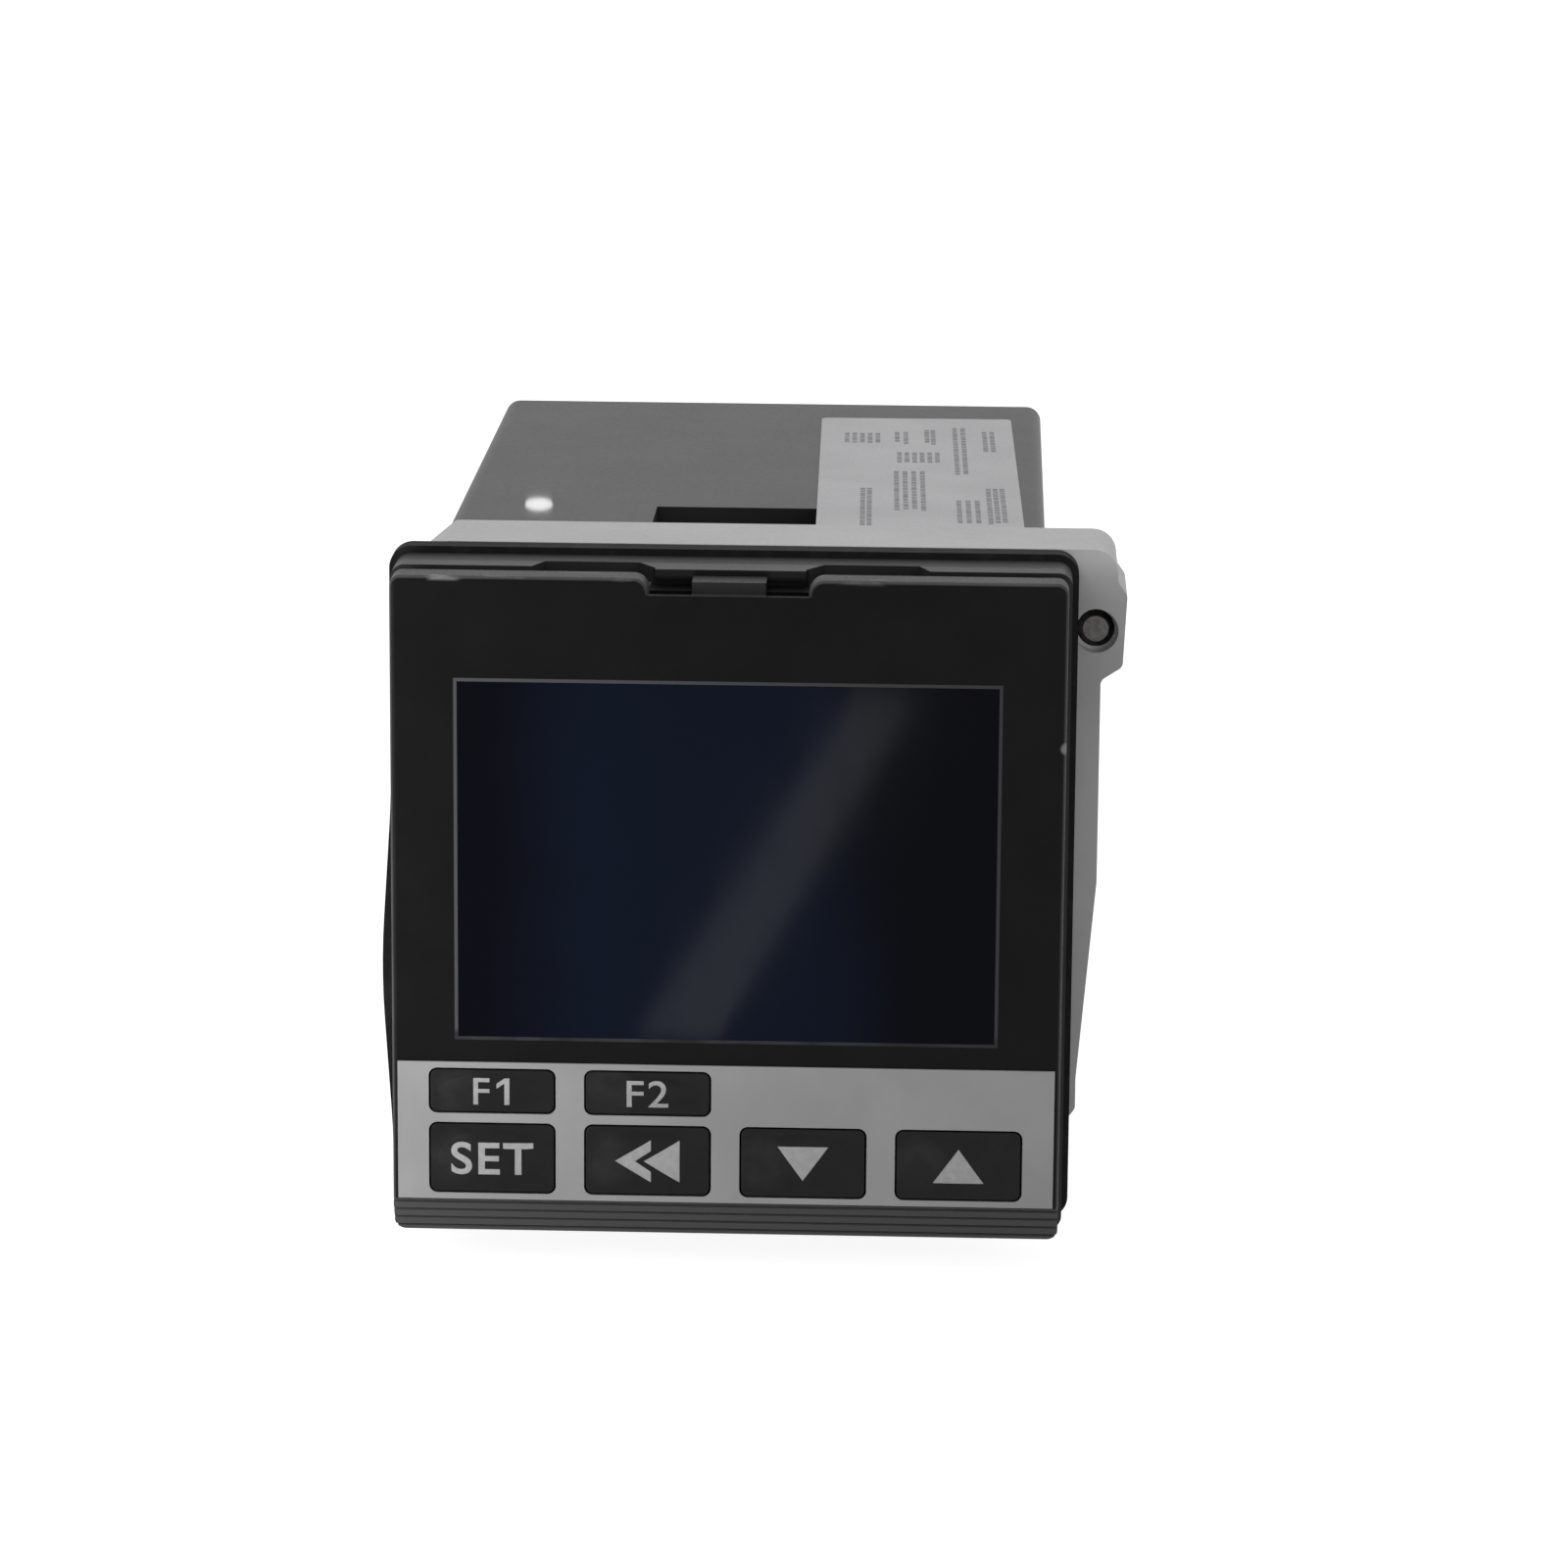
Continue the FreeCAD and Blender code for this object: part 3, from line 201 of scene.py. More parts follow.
# Finishes: the usual span of a noise and that of ink, the size of a slow drift of shade, the shift that clouds
# give the window's tint, what grain and drawn lines add to the roughness, and the roughness of smears
NOISE_SPAN = (0.3, 0.7)
INK_SPAN = (0.35, 0.65)
SHADE_DRIFT = 9
CLOUD_SHIFT = 8
GRAIN_ROUGH = 0.06
DRAWN_ROUGH = (-0.04, 0.05)
SMEAR_ROUGH = (0.06, 0.09)

# Colours of the finishes, in linear light
CASE_DARK, CASE_LIGHT = (0.016, 0.016, 0.0165), (0.0235, 0.0235, 0.024)
# Painted shade: black on the case's wall behind the notch
NOTCH_WALL_SHADE = (0.002, 0.002, 0.002)
FACE_DARK, FACE_LIGHT = (0.0016, 0.0016, 0.002), (0.0034, 0.0034, 0.0039)
# Bare moulded bezel: paler than its face, partly its own grey and partly a painted sheen in place of gloss
BARE_SHEEN_DARK, BARE_SHEEN_LIGHT = (0.045, 0.045, 0.045), (0.06, 0.06, 0.06)
# Painted reflection on the bezel's grip
GRIP_PAINTED_REFLECTION = (0.083, 0.083, 0.083)
# Painted shade in the bezel's notch: on the pits beside the tab, and on the tab
PIT_PAINTED_SHADE = (0.0025, 0.0025, 0.0025)
TAB_PAINTED_SHADE = (0.028, 0.028, 0.028)
SCUFF_GREY = (0.22, 0.22, 0.22)
RUBBER_BLACK, RUBBER_BLOOM = (0.006, 0.006, 0.006), (0.014, 0.014, 0.014)
WINDOW_DARK, WINDOW_BLUE = (0.0011, 0.0014, 0.0042), (0.0027, 0.0053, 0.0148)
BRACKET_DARK, BRACKET_LIGHT = (0.36, 0.36, 0.36), (0.4, 0.4, 0.4)
# Painted light under the bracket's top edge, and painted shade round the screw on its front
BRACKET_PAINTED_LIGHT, BRACKET_PAINTED_SHADE = (0.55, 0.55, 0.55), (0.325, 0.325, 0.325)
KEY_DARK, KEY_LIGHT = (0.0025, 0.0025, 0.0029), (0.0045, 0.0045, 0.005)
# Painted sheen at the left of every key
KEY_PAINTED_SHEEN = (0.0125, 0.0125, 0.013)
LINE_GONE, LINE_GREY = (0.004, 0.004, 0.005), (0.058, 0.058, 0.063)
BOARD_GREEN, TRACE_GREEN = (0.006, 0.06, 0.024), (0.02, 0.13, 0.05)
PAD_TIN, HOLE_BLACK = (0.5, 0.45, 0.36), (0.02, 0.02, 0.02)
TAPE_EDGE_YELLOW, TAPE_YELLOW = (0.42, 0.26, 0.02), (0.66, 0.46, 0.06)
SLEEVE_DARK, SLEEVE_LIGHT = (0.012, 0.016, 0.03), (0.018, 0.024, 0.045)
STRIPE_GREY, CAN_METAL = (0.45, 0.45, 0.42), (0.62, 0.62, 0.63)
GUIDE_DARK, GUIDE_LIGHT = (0.7, 0.73, 0.76), (0.8, 0.82, 0.84)
GLASS_DARK, GLASS_LIGHT = (0.035, 0.045, 0.04), (0.055, 0.065, 0.055)

# Soft edges of the painted zones: start and end in millimetres from a side or the middle of the piece
NOTCH_SIDE = (5.65, 5.5)
# Zone of the painted shade on the case's wall behind the notch
NOTCH_WALL_BACK = (0.8, 0.7)
NOTCH_WALL_TOP = (-0.03, -0.08)
# Zones of the painted shade in the bezel's notch and of the painted reflection on its grip
NOTCH_FLOOR = (-1.5, -1.4)
TAB_SIDE = (2.6, 2.55)
GRIP_TOP = (2.95, 2.75)
FACE_BACK = (0.03, 0.12)
RIM_FOOT = (-0.4, -0.1)
SCUFF_SIDE = (9, 5)
TINT_LEFT = (-14, -5)
TINT_RIGHT = (17, 9)
BRACKET_FRONT = (0.08, 0.04)
# Zones of the bracket's painted light under its top edge and painted shade round the screw
PAINTED_LIGHT_FOOT = (-2.6, -0.3)
PAINTED_SHADE_TOP = (-2.4, -4)
PAINTED_SHADE_FOOT = (-14, -10)
LINE_FOOT = (0.2, 0.8)
CAN_END_SIDE = (0.02, -0.02)
CAN_END_FRONT = (0.6, 0.5)
STRIPE_SIDE = (-0.9, -0.6)

# Wear and painted light: the nick in the bezel's right edge, the least share of its scuffs, the painted sheen at
# the left of the keys, and the line's painted shade towards the right and its patches along the foot
NICK_PLACE = Vector((23.72, -10.15, 12.3)) * MM
NICK_REACH = 0.55
SCUFF_LEAST = 0.25
SCRATCH_SPAN = (0.56, 0.68)
BLOOM_SPAN = (0.45, 0.75)
KEY_SHEEN_PLACE = 2.0
KEY_SHEEN_REACH = 2.4
KEY_SHEEN_SPAN = (0.35, 0.65)
KEY_SHEEN_LEAST = 0.35
LINE_FADE = 0.4
LINE_PATCH_SPAN = (0.42, 0.62)
LINE_PATCH_SHARE = 0.45

# Traces and pads of the boards, and the tape of the coil
TRACE_LENGTH = 7.5
TRACE_PITCH = 1.3
TRACE_GAP = 0.16
TRACE_SHIFT = 0.35
TRACE_RISE = 0.03
PAD_PITCH = 3.2
PAD_EDGE = (0.16, 0.13)
HOLE_EDGE = (0.075, 0.06)
TAPE_WIDTH = 1.6
TAPE_WAVE = 0.3
TAPE_WAVER = 0.6
TAPE_SPAN = (0.1, 0.35)
TAPE_RISE = 0.05


def only(piece):
    """Makes one piece the only selected and the active one."""
    bpy.ops.object.select_all(action="DESELECT")
    piece.select_set(True)
    bpy.context.view_layer.objects.active = piece


def apply_place(piece):
    """Moves a piece's place, turn and scale into its mesh."""
    only(piece)
    bpy.ops.object.transform_apply(location=True, rotation=True, scale=True)


def box_of(node):
    """Corners of a solid's box in millimetres."""
    low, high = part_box(node)
    return Vector(low) / MM, Vector(high) / MM


def named(name):
    """Names the object that was just added."""
    piece = bpy.context.object
    piece.name = name
    piece.data.name = name
    return piece


def block(name, low, high):
    """Box between two corners."""
    low, high = Vector(low), Vector(high)
    bpy.ops.mesh.primitive_cube_add(size=1, location=(low + high) / 2, scale=high - low)
    piece = named(name)
    apply_place(piece)
    return piece


def edit(piece, kind):
    """Opens a piece for editing with nothing selected."""
    only(piece)
    bpy.ops.object.mode_set(mode="EDIT")
    bpy.ops.mesh.select_mode(type=kind)
    bpy.ops.mesh.select_all(action="DESELECT")


def edit_all(piece, kind):
    """Opens a piece for editing with everything selected."""
    edit(piece, kind)
    bpy.ops.mesh.select_all(action="SELECT")


def leave_edit():
    """Closes the piece being edited."""
    bpy.ops.object.mode_set(mode="OBJECT")


def pick_faces(piece, chosen):
    """Opens a piece with the faces selected that a test on middle and normal picks."""
    edit(piece, "FACE")
    leave_edit()
    for face in piece.data.polygons:
        face.select = chosen(face.center, face.normal)
    bpy.ops.object.mode_set(mode="EDIT")


def pick_edges(piece, chosen):
    """Opens a piece with the edges selected that a test on both ends picks."""
    edit(piece, "EDGE")
    leave_edit()
    points = piece.data.vertices
    for edge in piece.data.edges:
        start, end = edge.vertices
        edge.select = chosen(points[start].co, points[end].co)
    bpy.ops.object.mode_set(mode="EDIT")


def pick_open_edges():
    """Selects the loose and open edges of the piece being edited."""
    bpy.ops.mesh.select_mode(type="EDGE")
    bpy.ops.mesh.select_non_manifold(
        extend=False, use_wire=True, use_boundary=True, use_multi_face=False,
        use_non_contiguous=False, use_verts=False,
    )


def close_edit():
    """Turns all faces outwards and closes the piece being edited."""
    bpy.ops.mesh.select_all(action="SELECT")
    bpy.ops.mesh.normals_make_consistent(inside=False)
    leave_edit()


def cut_across(piece, place, direction):
    """Cuts all faces of a piece along a plane."""
    edit_all(piece, "FACE")
    bpy.ops.mesh.bisect(plane_co=place, plane_no=direction)
    leave_edit()


def push(x=0.0, y=0.0, z=0.0):
    """Extrudes the selection by a distance."""
    bpy.ops.mesh.extrude_region_move(TRANSFORM_OT_translate={"value": (x, y, z)})


def apply_modifier(piece, kind, **settings):
    """Adds a modifier, sets it and applies it."""
    only(piece)
    modifier = piece.modifiers.new(kind.lower(), kind)
    for setting, value in settings.items():
        setattr(modifier, setting, value)
    bpy.ops.object.modifier_apply(modifier=modifier.name)


def cut_away(piece, tool):
    """Cuts a tool's shape out of a piece and removes the tool."""
    apply_modifier(piece, "BOOLEAN", object=tool, operation="DIFFERENCE", solver="EXACT")
    bpy.data.objects.remove(tool)


def join(pieces, name):
    """Joins pieces into one mesh."""
    only(pieces[0])
    for piece in pieces[1:]:
        piece.select_set(True)
    bpy.ops.object.join()
    return named(name)


def dress(piece, body, material, smooth=SMOOTH_ANGLE):
    """Finishes a piece: shading, material and the body it rides on."""
    only(piece)
    bpy.ops.object.shade_smooth_by_angle(angle=smooth)
    apply_modifier(piece, "WEIGHTED_NORMAL", keep_sharp=True)
    piece.scale = (MM, MM, MM)
    apply_place(piece)
    piece.data.materials.clear()
    piece.data.materials.append(material)
    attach(piece, body)


# Materials: shared steps


def new_finish(name, colour, roughness, metallic=0.0, specular=0.5):
    """Material with a plain shader, to be given its pattern."""
    material = bpy.data.materials.new(name)
    material.use_nodes = True
    shader = material.node_tree.nodes["Principled BSDF"]
    shader.inputs["Base Color"].default_value = (*colour, 1)
    shader.inputs["Roughness"].default_value = roughness
    shader.inputs["Metallic"].default_value = metallic
    shader.inputs["Specular IOR Level"].default_value = specular
    return material


def shader_of(material):
    """Shader of a material."""
    return material.node_tree.nodes["Principled BSDF"]


def add(material, kind, **settings):
    """Adds a node to a material."""
    node = material.node_tree.nodes.new(kind)
    for setting, value in settings.items():
        setattr(node, setting, value)
    return node


def link(material, source, target):
    """Links one socket to another."""
    material.node_tree.links.new(source, target)


def place_of(material):
    """Place of a point in the object's own frame."""
    return add(material, "ShaderNodeTexCoord").outputs["Object"]


def noise(material, size, detail=3.0, stretch=(1, 1, 1)):
    """Noise with features of a size, stretched along an axis where asked."""
    mapping = add(material, "ShaderNodeMapping")
    mapping.inputs["Scale"].default_value = stretch
    link(material, place_of(material), mapping.inputs["Vector"])
    texture = add(material, "ShaderNodeTexNoise")
    texture.inputs["Scale"].default_value = 1 / size
    texture.inputs["Detail"].default_value = detail
    link(material, mapping.outputs["Vector"], texture.inputs["Vector"])
    return texture.outputs[0]


def along(material, axis):
    """One coordinate of a point."""
    split = add(material, "ShaderNodeSeparateXYZ")
    link(material, place_of(material), split.inputs[0])
    return split.outputs[axis]


def ramp(material, value, start, end, low=0.0, high=1.0):
    """Value that goes smoothly from low to high between start and end."""
    node = add(material, "ShaderNodeMapRange", interpolation_type="SMOOTHSTEP")
    link(material, value, node.inputs["Value"])
    for socket, number in (("From Min", start), ("From Max", end), ("To Min", low), ("To Max", high)):
        node.inputs[socket].default_value = number
    return node.outputs["Result"]


def combine(material, operation, *values):
    """Arithmetic on values or numbers."""
    node = add(material, "ShaderNodeMath", operation=operation)
    for i, value in enumerate(values):
        if isinstance(value, (int, float)):
            node.inputs[i].default_value = value
        else:
            link(material, value, node.inputs[i])
    return node.outputs["Value"]


def product(material, first, *others):
    """Product of values or numbers."""
    for other in others:
        first = combine(material, "MULTIPLY", first, other)
    return first


def mix(material, share, first, second):
    """Colour between two colours, each a triple or another mix."""
    node = add(material, "ShaderNodeMix", data_type="RGBA")
    link(material, share, node.inputs["Factor"])
    for socket, colour in ((node.inputs[6], first), (node.inputs[7], second)):
        if isinstance(colour, tuple):
            socket.default_value = (*colour, 1)
        else:
            link(material, colour, socket)
    return node.outputs[2]


def paint(material, colour):
    """Gives the shader its colour."""
    link(material, colour, shader_of(material).inputs["Base Color"])


def vary_roughness(material, value):
    """Gives the shader its roughness."""
    link(material, value, shader_of(material).inputs["Roughness"])


def emboss(material, height, depth, strength=1.0):
    """Bump of a depth from a height between 0 and 1."""
    bump = add(material, "ShaderNodeBump")
    bump.inputs["Strength"].default_value = strength
    bump.inputs["Distance"].default_value = depth
    link(material, height, bump.inputs["Height"])
    link(material, bump.outputs["Normal"], shader_of(material).inputs["Normal"])


def near(material, point, reach):
    """One at a point, falling to nothing at a distance."""
    away = add(material, "ShaderNodeVectorMath", operation="DISTANCE")
    link(material, place_of(material), away.inputs[0])
    away.inputs[1].default_value = point
    return ramp(material, away.outputs["Value"], reach, reach / 2)


def spread(material, value, low=0.0, high=1.0):
    """Noise stretched over its usual span, from low to high."""
    return ramp(material, value, *NOISE_SPAN, low, high)


def past(material, value, base, edge, low=0.0, high=1.0):
    """Value that goes from low to high across a soft edge, given in millimetres from a base."""
    return ramp(material, value, base + edge[0] * MM, base + edge[1] * MM, low, high)


def drift_between(material, dark, light, size, detail=3.0):
    """Colour that drifts between two colours over a size in millimetres."""
    return mix(material, spread(material, noise(material, size * MM, detail)), dark, light)


def grain(material, size, depth, rough):
    """Fine grain of a size and a depth in millimetres that also varies the roughness."""
    fine = noise(material, size * MM, detail=2.0)
    vary_roughness(material, spread(material, fine, *rough))
    emboss(material, fine, depth * MM)


def from_middle(material):
    """Distance of a point from the middle of the front, to either side."""
    return combine(material, "ABSOLUTE", along(material, AXIS_X))


def seen_directly(owner):
    """One for what the camera, gloss or glass sees, in a material or a world."""
    rays = add(owner, "ShaderNodeLightPath")
    seen = combine(owner, "MAXIMUM", rays.outputs["Is Camera Ray"], rays.outputs["Is Glossy Ray"])
    return combine(owner, "MAXIMUM", seen, rays.outputs["Is Transmission Ray"])


# Materials of the controller


def moulded(name, dark, light, rough, size, depth, specular=0.5):
    """Moulded plastic with a fine grain and a slow drift of shade."""
    material = new_finish(name, light, rough, specular=specular)
    paint(material, drift_between(material, dark, light, SHADE_DRIFT, detail=4.0))
    grain(material, size, depth, (rough - GRAIN_ROUGH, rough + GRAIN_ROUGH))
    return material


def in_notch(material):
    """One across the release notch in the top edge."""
    return past(material, from_middle(material), 0, NOTCH_SIDE)


def case_finish():
    """Dark grey case plastic with a thin sheen that catches a lamp, and painted shade, black, on the wall behind
    the notch.
    """
    material = new_finish("case_plastic", (0.02, 0.02, 0.0205), 0.5, specular=0.15)
    grey = drift_between(material, CASE_DARK, CASE_LIGHT, SHADE_DRIFT, detail=4.0)
    front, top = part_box("case_sleeve")[0].y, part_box("case_sleeve")[1].z
    behind = past(material, along(material, AXIS_Y), front, NOTCH_WALL_BACK)
    under = past(material, along(material, AXIS_Z), top, NOTCH_WALL_TOP)
    # Painted shade: the wall behind the notch is painted black, where shade falls
    wall_shade = product(material, in_notch(material), behind, under)
    paint(material, mix(material, wall_shade, grey, NOTCH_WALL_SHADE))
    grain(material, size=0.35, depth=0.0015, rough=(0.48, 0.52))
    shader = shader_of(material)
    shader.inputs["Coat Weight"].default_value = 0.1
    shader.inputs["Coat Roughness"].default_value = 0.02
    return material


def bezel_finish():
    """Black front: a dark face, bare sides paler partly as a painted sheen, a painted reflection on the grip,
    painted shade on the tab and the pits beside it, and scuffs on its edges.
    """
    material = new_finish("bezel_plastic", (0.006, 0.006, 0.0065), 0.45, specular=0.08)
    drift = noise(material, size=6 * MM, detail=4.0)
    face = mix(material, spread(material, drift), FACE_DARK, FACE_LIGHT)
    low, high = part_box("front_bezel")
    # Bare sides: paler than the face, partly their own grey and partly a painted sheen in place of their gloss
    bare = mix(material, spread(material, drift), BARE_SHEEN_DARK, BARE_SHEEN_LIGHT)
    # Painted reflection: the grip made lighter, as light reflected from the floor would make it
    grip_reflection = past(material, along(material, AXIS_Z), low.z, GRIP_TOP)
    bare = mix(material, grip_reflection, bare, GRIP_PAINTED_REFLECTION)
    # Painted shade in the notch: the tab darkened and the pits beside it black
    tab = past(material, from_middle(material), 0, TAB_SIDE)
    notch_shade = mix(material, tab, PIT_PAINTED_SHADE, TAB_PAINTED_SHADE)
    high_up = past(material, along(material, AXIS_Z), high.z, NOTCH_FLOOR)
    bare = mix(material, product(material, in_notch(material), high_up), bare, notch_shade)
    off_front = past(material, along(material, AXIS_Y), low.y, FACE_BACK)
    black = mix(material, off_front, face, bare)
    rim = past(material, along(material, AXIS_Z), high.z, RIM_FOOT)
    left = past(material, along(material, AXIS_X), low.x, SCUFF_SIDE, low=SCUFF_LEAST)
    streaks = noise(material, size=1.2 * MM, detail=5.0, stretch=(0.3, 1, 1))
    scratches = ramp(material, streaks, *SCRATCH_SPAN)
    worn = product(material, rim, left, scratches)
    nick = near(material, NICK_PLACE, NICK_REACH * MM)
    worn = combine(material, "MAXIMUM", worn, nick)
    paint(material, mix(material, worn, black, SCUFF_GREY))
    grain(material, size=0.25, depth=0.004, rough=(0.4, 0.52))
    return material


def rubber_finish():
    """Dull black rubber with a dusty bloom."""
    material = new_finish("gasket_rubber", (0.008, 0.008, 0.008), 0.8, specular=0.15)
    bloom = ramp(material, noise(material, size=1.2 * MM, detail=5.0), *BLOOM_SPAN)
    paint(material, mix(material, bloom, RUBBER_BLACK, RUBBER_BLOOM))
    emboss(material, noise(material, size=0.3 * MM), depth=0.01 * MM)
    return material


def window_finish():
    """Dark blue tinted window over an unlit display."""
    material = new_finish("window_tint", (0.003, 0.0042, 0.011), 0.07, specular=0.04)
    cloud = product(material, noise(material, size=14 * MM, detail=2.0), CLOUD_SHIFT * MM)
    across = combine(material, "ADD", along(material, AXIS_X), cloud)
    rise = past(material, across, 0, TINT_LEFT)
    fall = past(material, across, 0, TINT_RIGHT)
    share = product(material, rise, fall)
    paint(material, mix(material, share, WINDOW_DARK, WINDOW_BLUE))
    smear = noise(material, size=3 * MM, detail=4.0, stretch=(1, 1, 0.4))
    vary_roughness(material, spread(material, smear, *SMEAR_ROUGH))
    return material


def bracket_finish():
    """Light grey bracket plastic, its front with painted light under the top edge and painted shade round the
    screw.
    """
    material = new_finish("bracket_plastic", (0.38, 0.38, 0.38), 0.5)
    grey = drift_between(material, BRACKET_DARK, BRACKET_LIGHT, SHADE_DRIFT, detail=4.0)
    low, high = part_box("clamp_bracket")
    up = along(material, AXIS_Z)
    on_front = past(material, along(material, AXIS_Y), low.y, BRACKET_FRONT)
    # Painted light: the front made paler just under the top edge
    painted_light = product(material, on_front, past(material, up, high.z, PAINTED_LIGHT_FOOT))
    grey = mix(material, painted_light, grey, BRACKET_PAINTED_LIGHT)
    # Painted shade: the front made darker round the screw
    below, above = past(material, up, high.z, PAINTED_SHADE_TOP), past(material, up, high.z, PAINTED_SHADE_FOOT)
    painted_shade = product(material, on_front, below, above)
    paint(material, mix(material, painted_shade, grey, BRACKET_PAINTED_SHADE))
    grain(material, size=0.3, depth=0.005, rough=(0.44, 0.56))
    return material


def film_finish(name, dark, light):
    """Satin printed film."""
    material = new_finish(name, light, 0.42, specular=0.3)
    paint(material, drift_between(material, dark, light, size=7))
    grain(material, size=0.2, depth=0.003, rough=(0.36, 0.5))
    return material


def key_finish():
    """Satin black key film, with a painted sheen a little paler at the left of every key."""
    material = new_finish("key_film", (0.005, 0.005, 0.0055), 0.4, specular=0.15)
    black = drift_between(material, KEY_DARK, KEY_LIGHT, size=2.2)
    # Painted sheen: a soft paler patch at the left of every key, where the dome would catch light
    painted_sheen = None
    for name in KEYS:
        low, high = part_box("key_" + name)
        middle = (low.x + KEY_SHEEN_PLACE * MM, low.y, (low.z + high.z) / 2)
        patch = near(material, middle, KEY_SHEEN_REACH * MM)
        painted_sheen = combine(material, "MAXIMUM", painted_sheen, patch) if painted_sheen else patch
    uneven = ramp(material, noise(material, size=1.6 * MM), *KEY_SHEEN_SPAN, low=KEY_SHEEN_LEAST)
    painted_sheen = product(material, painted_sheen, uneven)
    paint(material, mix(material, painted_sheen, black, KEY_PAINTED_SHEEN))
    grain(material, size=0.18, depth=0.003, rough=(0.34, 0.46))
    return material


def line_finish():
    """Thin grey print round the display, fading to the right as painted shade, and broken into patches along its
    foot.
    """
    material = new_finish("line_ink", (0.06, 0.06, 0.06), 0.5, specular=0.2)
    low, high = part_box("display_window")
    foot = past(material, along(material, AXIS_Z), low.z, LINE_FOOT)
    # Painted shade: the line darker towards the right
    left = ramp(material, along(material, AXIS_X), high.x, low.x, low=LINE_FADE)
    patches = ramp(material, noise(material, size=5 * MM, detail=4.0), *LINE_PATCH_SPAN)
    kept = combine(material, "MAXIMUM", product(material, patches, LINE_PATCH_SHARE), foot)
    share = product(material, kept, left)
    paint(material, mix(material, share, LINE_GONE, LINE_GREY))
    return material


def ink_finish(name, dark, light):
    """Printed ink with a slight unevenness."""
    material = new_finish(name, light, 0.5, specular=0.3)
    speck = noise(material, size=0.5 * MM, detail=4.0)
    paint(material, mix(material, ramp(material, speck, *INK_SPAN), dark, light))
    return material


def plated_finish(name, dark, light, rough):
    """Plated metal with fine drawn lines."""
    material = new_finish(name, light, rough, metallic=1.0)
    lines = noise(material, size=0.25 * MM, stretch=(1, 0.1, 1))
    paint(material, mix(material, spread(material, lines), dark, light))
    vary_roughness(material, spread(material, lines, rough + DRAWN_ROUGH[0], rough + DRAWN_ROUGH[1]))
    return material


def board_finish(name, first, second):
    """Green circuit board with traces and round pads in the plane of two axes."""
    material = new_finish(name, (0.01, 0.075, 0.03), 0.35)
    split = add(material, "ShaderNodeSeparateXYZ")
    link(material, place_of(material), split.inputs[0])
    flat = add(material, "ShaderNodeCombineXYZ")
    link(material, split.outputs[first], flat.inputs[0])
    link(material, split.outputs[second], flat.inputs[1])
    bricks = add(material, "ShaderNodeTexBrick", offset=TRACE_SHIFT)
    bricks.inputs["Scale"].default_value = 1.0
    bricks.inputs["Brick Width"].default_value = TRACE_LENGTH * MM
    bricks.inputs["Row Height"].default_value = TRACE_PITCH * MM
    bricks.inputs["Mortar Size"].default_value = TRACE_GAP * MM
    link(material, flat.outputs[0], bricks.inputs["Vector"])
    cells = add(material, "ShaderNodeTexVoronoi", voronoi_dimensions="2D")
    cells.inputs["Scale"].default_value = 1 / (PAD_PITCH * MM)
    link(material, flat.outputs[0], cells.inputs["Vector"])
    resist = mix(material, bricks.outputs["Fac"], BOARD_GREEN, TRACE_GREEN)
    pads = ramp(material, cells.outputs["Distance"], *PAD_EDGE)
    holes = ramp(material, cells.outputs["Distance"], *HOLE_EDGE)
    tinned = mix(material, pads, resist, PAD_TIN)
    paint(material, mix(material, holes, tinned, HOLE_BLACK))
    emboss(material, bricks.outputs["Fac"], TRACE_RISE * MM)
    return material


def coil_finish():
    """Yellow tape wound round the coil."""
    material = new_finish("coil_tape", (0.62, 0.42, 0.05), 0.35)
    wraps = add(material, "ShaderNodeTexWave", wave_type="BANDS", bands_direction="Y")
    wraps.inputs["Scale"].default_value = TAPE_WAVE / (TAPE_WIDTH * MM)
    wraps.inputs["Distortion"].default_value = TAPE_WAVER
    link(material, place_of(material), wraps.inputs["Vector"])
    edge = ramp(material, wraps.outputs["Fac"], *TAPE_SPAN)
    paint(material, mix(material, edge, TAPE_EDGE_YELLOW, TAPE_YELLOW))
    emboss(material, edge, TAPE_RISE * MM)
    return material


def square_of(material, value):
    """Square of a value of either sign."""
    return combine(material, "POWER", combine(material, "ABSOLUTE", value), 2.0)


def can_finish():
    """Capacitor can: dark sleeve with a pale stripe and a bare metal end."""
    material = new_finish("capacitor_can", (0.03, 0.035, 0.05), 0.35)
    low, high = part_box("filter_capacitors")
    radius = (high.y - low.y) / 2
    across = combine(material, "SUBTRACT", along(material, AXIS_Y), low.y + radius)
    height = combine(material, "ABSOLUTE", along(material, AXIS_Z))
    up = combine(material, "SUBTRACT", height, high.z - radius)
    squares = combine(material, "ADD", square_of(material, across), square_of(material, up))
    lip = radius - (CAN_SHOULDER + CAN_LIP) * MM
    inside = past(material, combine(material, "SQRT", squares), lip, CAN_END_SIDE)
    end = past(material, along(material, AXIS_X), low.x, CAN_END_FRONT)
    bare = product(material, inside, end)
    stripe = past(material, along(material, AXIS_Y), high.y, STRIPE_SIDE)
    sleeve = drift_between(material, SLEEVE_DARK, SLEEVE_LIGHT, size=0.8)
    sleeve = mix(material, stripe, sleeve, STRIPE_GREY)
    paint(material, mix(material, bare, sleeve, CAN_METAL))
    link(material, bare, shader_of(material).inputs["Metallic"])
    return material


def milky_finish():
    """Milky light guide."""
    material = new_finish("light_guide", (0.75, 0.78, 0.8), 0.3)
    paint(material, drift_between(material, GUIDE_DARK, GUIDE_LIGHT, size=1.5))
    return material


def glass_finish():
    """Grey-green display glass."""
    material = new_finish("display_glass", (0.05, 0.06, 0.05), 0.08)
    paint(material, drift_between(material, GLASS_DARK, GLASS_LIGHT, size=8))
    return material


def cover(node, material):
    """Gives a solid its material."""
    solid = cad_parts[node]
    solid.data.materials.clear()
    solid.data.materials.append(material)


# Pieces


